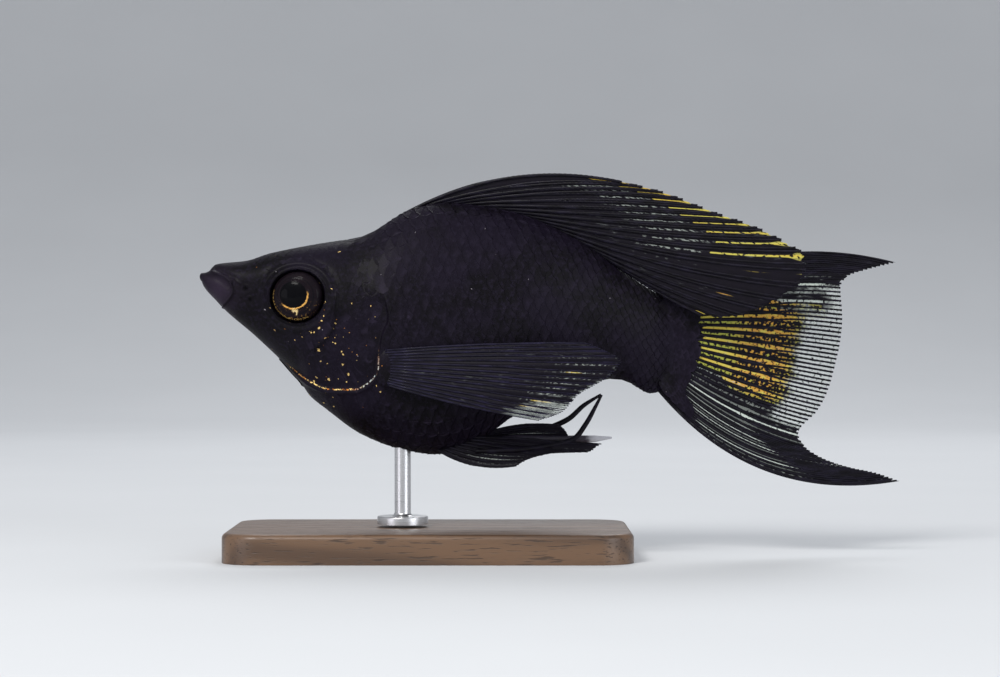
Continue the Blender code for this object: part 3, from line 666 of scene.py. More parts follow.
def skin_place(share):
    """Place along the body of a column of the grid, with most columns on the head."""
    head_share = HEAD_COLUMNS / (HEAD_COLUMNS + TRUNK_COLUMNS)
    on_head = JAW_TIP + (HEAD_END - JAW_TIP) * share / head_share
    on_trunk = HEAD_END + (FLESH_END - HEAD_END) * (share - head_share) / (1.0 - head_share)
    return np.where(share < head_share, on_head, on_trunk)


def unwrap(x, share):
    """The skin laid flat: a place on the UV map for a place on the fish."""
    flat = np.stack([(x - JAW_TIP) / (UNWRAP_END - JAW_TIP), share], axis=-1)
    return flat * (1.0 - 2.0 * UNWRAP_MARGIN) + UNWRAP_MARGIN


def rolled_skin():
    bm, flat = flat_grid(HEAD_COLUMNS + TRUNK_COLUMNS, SKIN_ROWS)
    x, share = skin_place(flat[:, 0]), flat[:, 1]
    keep_uv(bm, "OFBake", unwrap(x, share))
    bend(bm, skin(x, share))
    bmesh.ops.remove_doubles(bm, verts=bm.verts, dist=WELD)
    rims = [edge for edge in bm.edges if edge.is_boundary]
    ends = bmesh.ops.holes_fill(bm, edges=rims, sides=0)["faces"]
    tip = [face for face in ends if face.calc_center_median().x < 0.0]
    for inset, ahead in JAW_ROUNDING:
        bmesh.ops.inset_region(bm, faces=tip, thickness=inset)
        rim = list({vert for face in tip for vert in face.verts})
        bmesh.ops.translate(bm, verts=rim, vec=(-ahead, 0, 0))
    bmesh.ops.recalc_face_normals(bm, faces=bm.faces)
    return new_object("skin", bm)


def mark_piece(thing):
    """Keeps the coat's marks at a piece's points."""
    set_marks(thing.data, marks_at(np.array([vert.co for vert in thing.data.vertices]) / MM))
    return thing


fish_skin = mark_piece(rolled_skin())
print("skin points:", len(fish_skin.data.vertices))

# %% [markdown]
# ## Colour of the skin
#
# The skin is velvety black with a purple cast. A lone black would look like a hole in the
# picture, so slow noise moves it between a warm and a purple black, fine noise breaks up its
# gloss, and a little sheen catches the light along its turning edges, as the slime coat of a
# live fish does. Flecks of gold are scattered points, small and rare except on the cheek. The
# nostrils, the jaw fold and the cheek groove get painted shade, a near-black. The scales have
# the same coat, only that the rear rim of each carries a painted glint, a paler purple-grey.

# %% Mix the finish of skin and scales
GOLD_TONES = ((0.60, 0.22, 0.035), (0.78, 0.55, 0.20))


def coat_finish(name, gloss, scaly=False):
    pot = Pot(name, Coat_Weight=0.03, Coat_Roughness=gloss, Specular_IOR_Level=0.06,
              Sheen_Weight=0.006, Sheen_Roughness=0.4, Sheen_Tint=(0.55, 0.45, 0.8, 1.0))
    fine = pot.noise(2.6, 3.0)
    slow = pot.noise(0.16, 3.0).step(0.38, 0.62)
    black = pot.mix(slow, (0.0030, 0.0024, 0.0036), (0.0064, 0.0044, 0.0102))
    black = pot.mix(fine.step(0.45, 0.75), black, (0.0095, 0.0072, 0.0150))
    black = pot.mix(pot.mark("pale") * 0.7, black, (0.032, 0.022, 0.040))

    wobble = pot.node("VectorMath", pot.noise(1.3, output="Color"), Scale=0.9,
                      settings={"operation": "SCALE"})
    moved = pot.node("VectorMath", pot.mm, wobble, settings={"operation": "ADD"})
    distance, red, green = pot.cells(1.9, moved)
    chosen = red < pot.mark("cheek") * 0.60
    ragged = distance + (pot.noise(6.0) * 0.30 - 0.15)
    fleck = (ragged - (green * green * 0.20 + 0.06)).step(0.05, -0.03) * chosen
    tiny, red, _ = pot.cells(0.8, moved)
    speck = tiny.step(0.065, 0.035) * (red < 0.22)

    edge = pot.mark("edge") + (pot.noise(2.4) * 0.22 - 0.11)
    line = edge.step(-0.16, -0.10) * edge.step(0.03, -0.03)
    gilt = pot.mark("gilt") * line * pot.noise(5.0).step(0.44, 0.55)
    shine = pot.math("MAXIMUM", fleck, gilt)
    gold = pot.mix(green.step(0.2, 0.8), *GOLD_TONES)
    bright = pot.mix(gilt * pot.mark("silver"), gold, (0.55, 0.66, 0.70))
    colour = pot.mix(speck * 0.6, black, (0.42, 0.38, 0.42))
    colour = pot.mix(shine, colour, bright)
    # Painted shade: the nostrils, the jaw fold and the cheek groove are darkened to near black.
    colour = pot.mix(pot.mark("pit_shade"), colour, (0.0006, 0.0005, 0.0008))
    rough = pot.mark("pit_shade") * 0.4 + (fine * 0.2 + 0.40)
    if scaly:
        # Painted glint: the rear rim of each scale is lightened to a paler purple-grey.
        rim = pot.mark("rear") * pot.noise(0.9).step(0.35, 0.7)
        colour = pot.mix(rim * 0.5, colour, (0.026, 0.020, 0.038))
        rough = pot.mark("tone") * 0.06 + rough
    pot.give(Base_Color=colour, Roughness=rough, Metallic=shine * 0.7,
             Normal=pot.bump(pot.noise(6.0, 3.0), 0.035))
    return pot.material


coat = coat_finish("molly skin", 0.28)
hang(fish_skin, coat, "skin", "head", "jaw", "gill_cover_left", "gill_cover_right", "torso", "tail_stalk")

# %% [markdown]
# ## The scales
#
# A molly has rather large round-edged scales, about 27 in a row from gill cover to tail. Each
# one is rooted in the skin and lies over the one behind it, and neighbouring rows are shifted
# by half a scale. A bump map could draw them, but only plates catch the light along the body's
# outline. The scale is modelled once: a disc is raised into a thin plate, inset and poked so
# that it can bend. An Array modifier makes the copies, and each copy is then laid on the skin
# at its own place, with its rear edge lifted a little.

# %% Model one scale
SCALE_SIDES = 14
SCALE_INSETS = (0.3, 0.33)


def one_scale():
    """A round plate of radius 1 and height 1."""
    bm = bmesh.new()
    bmesh.ops.create_circle(bm, cap_ends=True, segments=SCALE_SIDES, radius=1.0)
    raised = bmesh.ops.extrude_face_region(bm, geom=bm.faces[:], use_keep_orig=True)["geom"]
    top = [part for part in raised if isinstance(part, bmesh.types.BMFace)]
    bmesh.ops.translate(bm, verts=list({v for face in top for v in face.verts}), vec=(0.0, 0.0, 1.0))
    for inset in SCALE_INSETS:
        bmesh.ops.inset_individual(bm, faces=top, thickness=inset)
    bmesh.ops.poke(bm, faces=top)
    bmesh.ops.recalc_face_normals(bm, faces=bm.faces)
    print("one scale:", len(bm.faces), "faces, closed:", all(edge.is_manifold for edge in bm.edges))
    mesh = bpy.data.meshes.new("one scale")
    bm.to_mesh(mesh)
    bm.free()
    return mesh


scale_pattern = one_scale()

# %% Choose where each scale is rooted
SCALE_ROWS = 38
FIRST_SCALES = -18.6
LAST_SCALES = 26.6
PITCH = line_through(((-19.0, 0.95), (-10.0, 1.1), (-2.0, 1.3), (8.0, 1.3), (18.0, 1.05), (27.0, 0.85)))
BARE_ROUND_EYE = 4.5
BARE_GILL_EDGE = (-1.6, 0.9)
SNOUT, BROW = -15.2, 31.6
THROAT, CHIN = -13.4, 20.2


def half_shifted(column, rows):
    """Shares of the way round of one column of scales."""
    return [(2 * row + column % 2 + 0.5) / rows for row in range(rows // 2)]


def scale_places():
    """Roots of the scales, kept off the eyes, the snout, the throat and the gill cover's edge."""
    places = []
    x = FIRST_SCALES
    column = 0
    while x < LAST_SCALES:
        places += [(x, share) for share in half_shifted(column, SCALE_ROWS)]
        x += 0.5 * float(PITCH(x))
        column += 1
    places = np.array(places)
    points = bare_skin(places[:, 0], places[:, 1])
    x, z = points[:, 0], points[:, 2]
    behind, share = near_gill_edge(points)
    bare = (behind > BARE_GILL_EDGE[0]) & (behind < BARE_GILL_EDGE[1]) & (share > 0.02) & (x < 0.0)
    bare |= (eye_distance(points) <= BARE_ROUND_EYE) | ((x < SNOUT) & (z < BROW))
    bare |= (x < THROAT) & (z < CHIN)
    return places[~bare]


scales_at = scale_places()
print("scales:", len(scales_at))

# %% Lay scales on a surface
SCALE_LENGTH = 1.9
SCALE_WIDTH = 1.16
SCALE_SINK = 0.09
SCALE_LIFT = 0.05
SCALE_CROWN = 0.015
SCALE_THICKNESS = 0.05
SCALE_GROUND = 0.03
SCALE_TILT = 0.006
SCALE_SEED = 11
COPY_STEP = 3.0
PATCH = 0.003


def copies_of_the_scale(name, count):
    """An object with that many scales, still side by side."""
    thing = link(name, scale_pattern)
    array = thing.modifiers.new("copies", "ARRAY")
    array.count = count
    array.use_relative_offset = False
    array.use_constant_offset = True
    array.constant_offset_displace = (COPY_STEP, 0.0, 0.0)
    graph = bpy.context.evaluated_depsgraph_get()
    mesh = bpy.data.meshes.new_from_object(thing.evaluated_get(graph))
    thing.modifiers.clear()
    thing.data = mesh
    return thing


def plates(name, roots, row, pitch, firm, ground, upward, flat):
    """One mesh of scales on a surface of two coordinates, along and around. Row is the distance
    of rows and pitch that of scales in a row, both in those coordinates; flat is each root's
    place on the unwrap. Firm scales stand out in full, and the others lie flat on the ground."""
    thing = copies_of_the_scale(name, len(roots))
    mesh = thing.data
    local = np.array([vert.co for vert in scale_pattern.vertices])
    along, across, top = local.T
    random = np.random.default_rng(SCALE_SEED)
    pitch = pitch * random.uniform(0.95, 1.05, len(roots))
    rounder = np.sqrt(1.0 - 0.12 * (along - 0.3) ** 2)
    a = roots[:, :1] + SCALE_LENGTH * pitch[:, None] * 0.5 * (along + 0.35)
    b = roots[:, 1:] + SCALE_WIDTH * row * (across * rounder)
    lift = -SCALE_SINK + (SCALE_SINK + SCALE_LIFT) * 0.5 * (along + 1.0)
    lift += SCALE_CROWN * (1.0 - along**2) * (1.0 - across**2)
    height = np.where(top > 0.5, lift, lift - SCALE_THICKNESS)
    tilt = random.normal(0.0, SCALE_TILT, len(roots))[:, None] * along
    firm = np.broadcast_to(firm, len(roots))[:, None]
    stand = firm * (height + tilt) + SCALE_GROUND * (1.0 - firm)
    points = ground(a, b) + upward(a, b) * stand[..., None]
    mesh.vertices.foreach_set("co", (points * MM).astype(np.float32).ravel())

    corners = np.empty(len(mesh.loops), dtype=int)
    mesh.loops.foreach_get("vertex_index", corners)
    of_scale, of_point = np.divmod(corners, len(local))
    uv = flat[of_scale] + local[of_point, :2] * (0.5 * PATCH)
    layer = mesh.uv_layers.new(name="OFBake")
    layer.data.foreach_set("uv", uv.astype(np.float32).ravel())
    # The rear rim of each scale, where the scale finish paints a glint.
    rear = step(np.hypot(along, across) * (along > -0.2), 0.5, 1.0)
    tone = random.uniform(0.0, 1.0, len(roots))[:, None]
    set_marks(mesh, {**marks_at(points), "rear": np.broadcast_to(rear, a.shape),
                     "tone": np.broadcast_to(tone, a.shape)})
    mesh.shade_smooth()
    mesh.set_sharp_from_angle(angle=math.radians(40.0))
    mesh.update()
    return thing


# %% Lay the body's scales
SIDES = {"left": -1.0, "right": 1.0}


def body_ground(x, share):
    return skin(np.minimum(x, FLESH_END - 0.05), share)


def body_upward(x, share):
    return skin_normal(bare_skin, np.minimum(x, FLESH_END - 0.1), share)


scale_coat = coat_finish("molly scales", 0.26, scaly=True)
for name, side in SIDES.items():
    roots = scales_at[(scales_at[:, 1] > 0.5) == (side > 0.0)]
    firm = 0.3 + 0.7 * step(roots[:, 0], -9.0, -1.0)
    laid = plates(f"scales_{name}", roots, 1.0 / SCALE_ROWS, PITCH(roots[:, 0]), firm,
                  body_ground, body_upward, unwrap(roots[:, 0], roots[:, 1]))
    hang(laid, scale_coat, "skin")

# %% [markdown]
# ## The eyes
#
# A fish's eye has no lids. A round lens bulges through the pupil, a thin bright ring of gold
# runs round it, and the iris is a dark brown with gold dust, edged by a black rim. One profile
# from the middle of the pupil to the back of the ball holds all these steps, and spinning it
# makes the eye. The ball is turned a little to the front, as the flank narrows there. The
# distance from the middle is kept on the mesh, so the rings of colour land exactly on the steps
# of the shape.

# %% Spin the eyes
PUPIL = 1.53
PUPIL_SHIFT = (-0.2, 0.2)
IRIS_EDGE = 2.4
EYE_STEPS = 96
PROFILE_POINTS = 64
EYE_STEPS_UP = (
    # distance from the middle, height, width
    (PUPIL + 0.13, 0.06, 0.1), (PUPIL + 0.38, -0.05, 0.16), (IRIS_EDGE, 0.04, 0.12),
)
LENS_HEIGHT = 0.16


def spun(profile, steps):
    """A closed profile of (radius, height) points spun round the upright axis."""
    bm = bmesh.new()
    stops = [bm.verts.new((radius, 0.0, height)) for radius, height in profile]
    for pair in zip(stops, stops[1:]):
        bm.edges.new(pair)
    bmesh.ops.spin(bm, geom=bm.verts[:] + bm.edges[:], cent=(0, 0, 0), axis=(0, 0, 1),
                   angle=math.tau, steps=steps, use_merge=True)
    bmesh.ops.remove_doubles(bm, verts=bm.verts, dist=0.0001)
    bmesh.ops.recalc_face_normals(bm, faces=bm.faces)
    return bm


def eye_height(radius):
    """Height of the eye's front over its widest plane, at a distance from its middle."""
    ball = EYE_RADII[1] * math.sqrt(max(0.0, 1.0 - (radius / EYE_RADII[0]) ** 3))
    bulge = LENS_HEIGHT * math.sqrt(max(0.0, 1.0 - (radius / PUPIL) ** 2))
    return ball + bulge + sum(rise * hump(radius - middle, width) for middle, rise, width in EYE_STEPS_UP)


def eyeball(name, side):
    angles = [0.5 * math.pi * i / PROFILE_POINTS for i in range(PROFILE_POINTS + 1)]
    front = [(EYE_RADII[0] * math.sin(a), eye_height(EYE_RADII[0] * math.sin(a))) for a in angles]
    rear = [(EYE_RADII[0] * math.cos(a), -EYE_RADII[1] * math.sin(a)) for a in angles[4::4]]
    bm = spun(front + rear, EYE_STEPS)
    from_middle = np.array([math.hypot(v.co.x, v.co.y) if v.co.z > -0.01 else EYE_RADII[0] for v in bm.verts])
    bmesh.ops.rotate(bm, verts=bm.verts, matrix=Matrix.Rotation(-side * math.pi / 2.0, 3, "X"))
    bmesh.ops.scale(bm, verts=bm.verts, vec=(1.0, 1.0, EYE_RADII[2] / EYE_RADII[0]))
    marks = {"from_middle": from_middle, "up": np.array([v.co.z for v in bm.verts]),
             "ahead": np.array([-v.co.x for v in bm.verts])}
    for vert, off in zip(bm.verts, step(from_middle, PUPIL + 0.1, IRIS_EDGE)):
        vert.co += (1.0 - float(off)) * Vector((PUPIL_SHIFT[0], 0.0, PUPIL_SHIFT[1]))
    bmesh.ops.rotate(bm, verts=bm.verts, matrix=Matrix.Rotation(side * EYE_TURN, 3, "Z"))
    bmesh.ops.translate(bm, verts=bm.verts, vec=(EYE_PLACE[0], side * EYE_OUT, EYE_PLACE[1]))
    eye = new_object(name, bm)
    set_marks(eye.data, marks)
    return eye


# %% Paint the eyes
def ring_of(value, middle, width):
    """1 on a ring and 0 off it."""
    return abs(value - middle).step(width, 0.4 * width)


iris = Pot("molly eye", Coat_Weight=0.14, Coat_Roughness=0.05, Coat_IOR=1.34, Roughness=0.4,
           Specular_IOR_Level=0.02)
radius, up, ahead = iris.mark("from_middle"), iris.mark("up"), iris.mark("ahead")
rough_radius = radius + (iris.noise(2.2, 3.0) * 0.30 - 0.15)
brown = iris.mix(iris.noise(1.4), (0.004, 0.0033, 0.006), (0.012, 0.0075, 0.0095))
dust = iris.noise(5.0, 4.0).step(0.60, 0.70) * (up.step(-0.1, -1.1) * 0.35)
colour = iris.mix(dust, brown, (0.50, 0.27, 0.07))
colour = iris.mix(ring_of(radius, 2.1, 0.09), colour, (0.005, 0.004, 0.006))
bright = ring_of(rough_radius, PUPIL + 0.08, 0.11) * (ahead * 0.45 + up).step(-0.2, -1.0)
bright = bright * iris.noise(3.0).step(0.30, 0.46)
colour = iris.mix(bright, colour, (0.80, 0.42, 0.10))
blotch = (abs(ahead + 0.12) + abs(rough_radius - 1.82)).step(0.48, 0.2)
blotch = blotch * up.step(-1.2, -1.5) * iris.noise(3.6).step(0.42, 0.5)
colour = iris.mix(blotch, colour, (0.95, 0.72, 0.34))
crescent = ring_of(rough_radius, 2.62, 0.11) * (ahead * 0.75 - up).step(0.9, 1.8)
crescent = crescent * iris.noise(6.5, 1.0).step(0.46, 0.54)
colour = iris.mix(crescent, colour, (0.80, 0.50, 0.13))
in_pupil = radius.step(PUPIL + 0.02, PUPIL - 0.06)
colour = iris.mix(in_pupil, colour, (0.002, 0.002, 0.003))
gilding = iris.math("MAXIMUM", iris.math("MAXIMUM", bright, blotch), crescent)
iris.give(Base_Color=colour, Metallic=gilding * 0.8,
          Normal=iris.bump(iris.noise(5.0, 3.0) * (1.0 - in_pupil), 0.02, 0.6))
for name, side in SIDES.items():
    hang(eyeball(f"eye_ball_{name}", side), iris.material, "eye", f"eye_{name}")

# %% [markdown]
# ## Fins: one rule for web and rays
#
# A fin is a fan of rays between two lines, the root and the line of the ray tips. Each ray is a
# gently bent line from one to the other. The same rule places the thin web, as a grid that is
# bent into the fan, and the rays, as rods along it, so that they can't come apart. Naming a
# place by its share of the fan (spread) and of the ray (reach) makes marks that run with the
# rays easy.

# %% The rule of a fan
class Fan:
    """Where a place on a fin is, from its roots, tips, number of rays, bow and side."""

    def __init__(self, roots, tips, rays, bow, side):
        self.root_line = path_through(roots)
        self.tip_line = path_through(tips)
        self.gaps = rays - 1
        self.bow = bow
        self.side = side

    def at(self, spread, reach, off=0.0):
        """Points at shares of the fan and of the ray, moved off the web by a distance."""
        start, end = self.root_line(spread), self.tip_line(spread)
        along = end - start
        square = np.stack([-along[..., 1], along[..., 0]], axis=-1)
        control = (start + end) / 2.0 + self.bow(spread)[..., None] * square
        t = reach[..., None]
        flat = start * (1 - t) ** 2 + control * 2 * t * (1 - t) + end * t**2
        y = self.side(flat[..., 0], flat[..., 1], reach, spread) + off
        return np.stack([flat[..., 0], y, flat[..., 1]], axis=-1)


# %% The web of a fin
WEB_THICKNESS = 0.07
COLUMNS_PER_RAY = 6
WEB_ROWS = 64
WEB_START = -0.03
WEB_MARGIN = 0.012
WEB_NOTCH = 0.018
WEB_SLACK = 0.05


def fin_web(name, fan, marks):
    """The thin skin between the rays, slack between them, its margin notched at their tips."""
    bm, flat = flat_grid(fan.gaps * COLUMNS_PER_RAY, WEB_ROWS)
    spread = flat[:, 0]
    turn = math.pi * spread * fan.gaps
    notch = 0.4 * np.abs(np.sin(turn)) + 0.6 * np.abs(np.sin(2.0 * turn))
    end = 1.0 - WEB_MARGIN - WEB_NOTCH * notch
    reach = WEB_START + flat[:, 1] * (end - WEB_START)
    points = fan.at(spread, reach, WEB_SLACK * np.sin(2.0 * turn) * np.clip(reach * 3.0, 0.0, 1.0))
    bend(bm, points)
    keep_uv(bm, "fin", np.stack([spread * fan.gaps, reach], axis=-1))
    web = new_object(name, bm)
    set_marks(web.data, marks(spread, reach, points))
    shell = web.modifiers.new("thickness", "SOLIDIFY")
    shell.thickness = WEB_THICKNESS * MM
    shell.offset = 0.0
    return web


# %% One rod
RAY_SIDES = 6


def rod(bm, points, radii):
    """A closed rod along points: a disc extruded from each point to the next."""
    stops = [Vector(p) for p in points]
    ahead = [(b - a).normalized() for a, b in zip(stops, stops[1:])]
    ahead.append(ahead[-1])
    first = bmesh.ops.create_circle(bm, cap_ends=True, segments=RAY_SIDES, radius=radii[0])["verts"]
    turn = Vector((0.0, 0.0, 1.0)).rotation_difference(ahead[0]).to_matrix()
    bmesh.ops.rotate(bm, verts=first, cent=(0, 0, 0), matrix=turn)
    bmesh.ops.translate(bm, verts=first, vec=stops[0])
    edges = [edge for edge in bm.edges if all(vert in first for vert in edge.verts)]
    for i in range(1, len(stops)):
        made = bmesh.ops.extrude_edge_only(bm, edges=edges)["geom"]
        ring = [part for part in made if isinstance(part, bmesh.types.BMVert)]
        members = set(ring)
        edges = [part for part in made if isinstance(part, bmesh.types.BMEdge)
                 and part.verts[0] in members and part.verts[1] in members]
        bmesh.ops.translate(bm, verts=ring, vec=stops[i] - stops[i - 1])
        turn = ahead[i - 1].rotation_difference(ahead[i]).to_matrix()
        bmesh.ops.rotate(bm, verts=ring, cent=stops[i], matrix=turn)
        grow = radii[i] / radii[i - 1]
        bmesh.ops.scale(bm, verts=ring, vec=(grow, grow, grow), space=Matrix.Translation(-stops[i]))
    bmesh.ops.edgeloop_fill(bm, edges=edges)


# %% The rays of a fin
JOINT_STEP = 0.28
JOINT_WAIST = 0.82
LEAST_ROOM = 0.3
FAN_EDGE = 0.006
RAY_END = 0.985
FORK_LENGTH = 0.2


def ray_lines(fan, forks, radii, parting=0.25, crowd=1.0):
    """Each ray's lines: a stem that forks at the given shares of its length. The radii are those
    at the root, at the first fork, after each fork, and at the tip. Parting is how far the first
    two branches move apart, and crowd is the largest radius, as shares of the distance between
    rays."""
    stops = [0.0, forks[0], *(fork + 0.5 * FORK_LENGTH for fork in forks), 1.0]
    spacing = 1.0 / fan.gaps
    lines = []
    for spread in np.arange(fan.gaps + 1) * spacing:
        ends = fan.at(np.full(2, spread), np.array([0.0, 1.0]))
        length = float(np.linalg.norm(ends[1] - ends[0]))
        for branch in range(2 ** len(forks)):
            outward = [fork for level, fork in enumerate(forks) if branch >> level & 1]
            start = max(outward, default=WEB_START)
            count = max(6, int(length * (RAY_END - start) / JOINT_STEP))
            reach = np.linspace(start, RAY_END, count)
            place = np.full(count, spread)
            for level, fork in enumerate(forks):
                way = 1.0 if branch >> level & 1 else -1.0
                place += way * parting * 0.5**level * spacing * step(reach, fork, fork + FORK_LENGTH)
            place = np.clip(place, FAN_EDGE, 1.0 - FAN_EDGE)
            points = fan.at(place, reach)
            ahead = np.gradient(points, axis=0)
            ahead /= np.linalg.norm(ahead, axis=1)[:, None]
            aside = fan.at(np.clip(place + 0.5 * spacing, 0.0, 1.0), reach)
            aside -= fan.at(np.clip(place - 0.5 * spacing, 0.0, 1.0), reach)
            aside -= (aside * ahead).sum(1)[:, None] * ahead
            room = np.maximum(np.linalg.norm(aside, axis=1), LEAST_ROOM)
            taper = np.minimum(np.interp(reach, stops, radii), crowd * room)
            waist = np.where(np.arange(count) % 2, 1.0, JOINT_WAIST)
            lines.append((points, taper * waist ** np.clip(reach * 6.0 - 1.2, 0.0, 1.0)))
    return lines


def fin_rays(name, lines):
    """All the rays of a fin as one mesh."""
    whole = bmesh.new()
    for points, radii in lines:
        single = bmesh.new()
        rod(single, points, radii)
        bmesh.ops.recalc_face_normals(single, faces=single.faces)
        mesh = bpy.data.meshes.new("one ray")
        single.to_mesh(mesh)
        single.free()
        whole.from_mesh(mesh)
        bpy.data.meshes.remove(mesh)
    return new_object(name, whole)


def hang_fin(name, fan, marks, lines, finishes, slot, *stands_for):
    """Makes a fin's web and rays, in their two finishes. The name has a gap for web or rays."""
    hang(fin_web(name.format("web"), fan, marks), finishes[0], slot, *stands_for)
    hang(fin_rays(name.format("rays"), lines), finishes[1], slot)


# %% [markdown]
# ## Finish of the fins
#
# The rays are black with a violet sheen, slightly paler in places. The web is black near the
# body. Towards the margin of the dorsal fin and over the middle of the tail it turns gold, in
# streaks that run between the rays, and beyond the gold of the tail it is nearly clear. Painting
# that by hand would be a picture. Here each zone is a mark on the mesh: gold, deep for orange,
# worn where the gold breaks up, clear, pale for silvery dashes, and wide where streaks spread.
# Noise stretched along the rays frays the zones, and a random number for each streak sets how
# far out it starts.

# %% Mix the fins' finishes
STREAK_EDGE = 0.025


def web_finish(name, streak, halves=False):
    """Streak is half the breadth of the gold streaks, as a share of the distance between rays.
    With halves, there is also a streak between the two branches of each ray."""
    pot = Pot(name, Roughness=0.45, Coat_Weight=0.02, Specular_IOR_Level=0.10)
    fin_place = pot.node("UVMap", output="UV", settings={"uv_map": "fin"})
    streaks = pot.noise(1.0, 3.0, at=fin_place, stretch=(4.0, 22.0, 1.0))
    speckle = pot.noise(1.0, at=fin_place, stretch=(4.0, 58.0, 1.0))
    fray = pot.noise(1.0, 1.0, at=fin_place, stretch=(3.1, 4.0, 1.0))
    across = pot.axis("X", fin_place)
    from_gap = abs(pot.math("FRACT", across) - 0.5)
    odd = from_gap.step(0.24, 0.26)
    doubled = across * 2.0 + 0.5
    off_middle = abs(pot.math("FRACT", doubled) * 0.5 - 0.25) if halves else from_gap
    drawn = pot.node("TexWhiteNoise", W=pot.math("FLOOR", doubled), output="Value",
                     settings={"noise_dimensions": "1D"})
    wide, pale = pot.mark("wide"), pot.mark("pale")

    gold = (pot.mark("gold") - (drawn * 0.55 + 0.08) + (fray * 0.7 - 0.35)).step(0.02, 0.12)
    blots = odd * 0.10 + (pot.mark("worn") * 0.08 + 0.36)
    gold = gold * (speckle - blots).step(-0.04, 0.06)
    ragged = wide * 0.3 + (fray * (0.4 * streak) - 0.2 * streak)
    gold = gold * (off_middle - ragged).step(streak + STREAK_EDGE, streak - STREAK_EDGE)
    gilt = pot.mix(fray.step(0.40, 0.70), (0.52, 0.46, 0.09), (0.54, 0.37, 0.05))
    yellow = pot.mix(odd, gilt, (0.34, 0.35, 0.06))
    yellow = pot.mix(off_middle.step(streak, streak + 0.08), yellow, (0.30, 0.27, 0.07))
    yellow = pot.mix(pot.mark("deep") * streaks.step(0.32, 0.55), yellow, (0.52, 0.27, 0.045))

    outer = pot.mark("clear") + (drawn * 0.3 - 0.15) + (streaks * 0.8 - 0.4)
    clear = outer.step(0.15, 0.75) * speckle.step(0.30, 0.42)
    narrow = 0.08 if halves else 0.12
    dashes = (off_middle - wide * 0.1).step(narrow, 0.5 * narrow) * (speckle + pale * 0.25).step(0.58, 0.68)
    dashes = dashes * drawn.step(0.15, 0.35) * (1.0 - odd * 0.7)
    black = pot.mix(streaks, (0.0028, 0.0022, 0.0038), (0.007, 0.005, 0.011))
    colour = pot.mix(clear, pot.mix(gold, black, yellow), (0.55, 0.60, 0.56))
    colour = pot.mix(pale * dashes, colour, (0.50, 0.55, 0.50))
    pot.give(Base_Color=colour, Alpha=1.0 - clear * 0.76, Normal=pot.bump(streaks, 0.02, 0.5))
    return pot.material


def ray_finish(name, dark, light):
    pot = Pot(name, Roughness=0.40, Coat_Weight=0.04, Specular_IOR_Level=0.11, Sheen_Weight=0.006,
              Sheen_Tint=(0.5, 0.45, 0.9, 1.0))
    tone = pot.noise(1.6, 3.0, stretch=(0.35, 1.0, 1.6)).step(0.35, 0.8)
    pot.give(Base_Color=pot.mix(tone, dark, light), Normal=pot.bump(pot.noise(5.0), 0.02, 0.5))
    return pot.material


rays_black = ray_finish("fin rays", (0.0032, 0.0026, 0.0045), (0.012, 0.010, 0.020))
black_fin = (web_finish("fin web", streak=0.065), rays_black)

# %% [markdown]
# ## The dorsal fin
#
# The long dorsal fin is folded back over the tail stalk, so that its front rays lie in a thick
# band along its upper edge. Its root follows the back, sunk in it a little so that no light
# shows between. It leans a little to the left, and passes in front of the tail fin as in the
# photo.

# %% Make the dorsal fin
DORSAL_FROM, DORSAL_TO = -2.0, 17.0
DORSAL_LEAN, DORSAL_LEAN_AT, DORSAL_LEAN_POWER = 4.0, 25.0, 1.2
FIN_GAP = 0.3
DORSAL_LIFT = line_through(((DORSAL_FROM, 0.0), (-1.0, -0.12), (12.0, -0.05), (DORSAL_TO, FIN_GAP)))
DORSAL_TIPS = (
    (21.0, 40.9), (25.2, 39.9), (31.5, 37.5), (36.2, 35.8), (39.6, 34.0), (41.2, 32.8),
    (41.2, 31.0), (39.2, 28.7), (36.4, 27.2), (32.6, 26.1), (29.6, 26.4),
)
DORSAL_BOW = line_through((
    (0.0, 0.188), (0.05, 0.13), (0.1, 0.085), (0.17, 0.08), (0.27, 0.035), (0.42, -0.02),
    (0.5, -0.05), (0.6, -0.08), (0.8, -0.085), (1.0, -0.062),
))
GOLD_FROM = line_through(((0.0, 0.83), (0.1, 0.86), (0.3, 0.83), (0.42, 0.78), (0.52, 0.75), (0.62, 0.64)))


def dorsal_side(x, z, reach, spread):
    base = DORSAL_FROM + spread * (DORSAL_TO - DORSAL_FROM)
    away = np.hypot(x - base, z - back(base))
    return sway(base) - DORSAL_LEAN * (away / DORSAL_LEAN_AT) ** DORSAL_LEAN_POWER


def dorsal_marks(spread, reach, points):
    upper = step(spread, -0.02, 0.02) * step(spread, 0.68, 0.60)
    inner = GOLD_FROM(np.minimum(spread, 0.62))
    gold = upper * step(reach, inner - 0.04, inner + 0.02)
    dots = hump(spread - 0.79, 0.05) * hump(reach - 0.8, 0.12)
    spot = hump(spread - 0.97, 0.02) * hump(reach - 0.93, 0.03)
    return {
        "gold": np.maximum.reduce([gold, 0.6 * dots, spot]),
        "deep": np.maximum(0.5 * gold * step(spread, 0.3, 0.1), dots),
        "worn": gold * (0.15 + 0.75 * step(spread, 0.3, 0.45)),
        "pale": 0.45 * upper * step(reach, inner - 0.30, inner - 0.2) * step(reach, inner, inner - 0.05),
        "wide": 0.7 * upper * step(reach, 0.92, 0.98),
    }


dorsal_roots = [(x, float(back(x)) + float(DORSAL_LIFT(x))) for x in np.linspace(DORSAL_FROM, DORSAL_TO, 9)]
dorsal = Fan(dorsal_roots, DORSAL_TIPS, 17, DORSAL_BOW, dorsal_side)
dorsal_lines = ray_lines(dorsal, (0.30,), (0.20, 0.26, 0.20, 0.17), parting=0.13)
hang_fin("dorsal_fin_{}", dorsal, dorsal_marks, dorsal_lines, black_fin, "fin", "fin_dorsal")

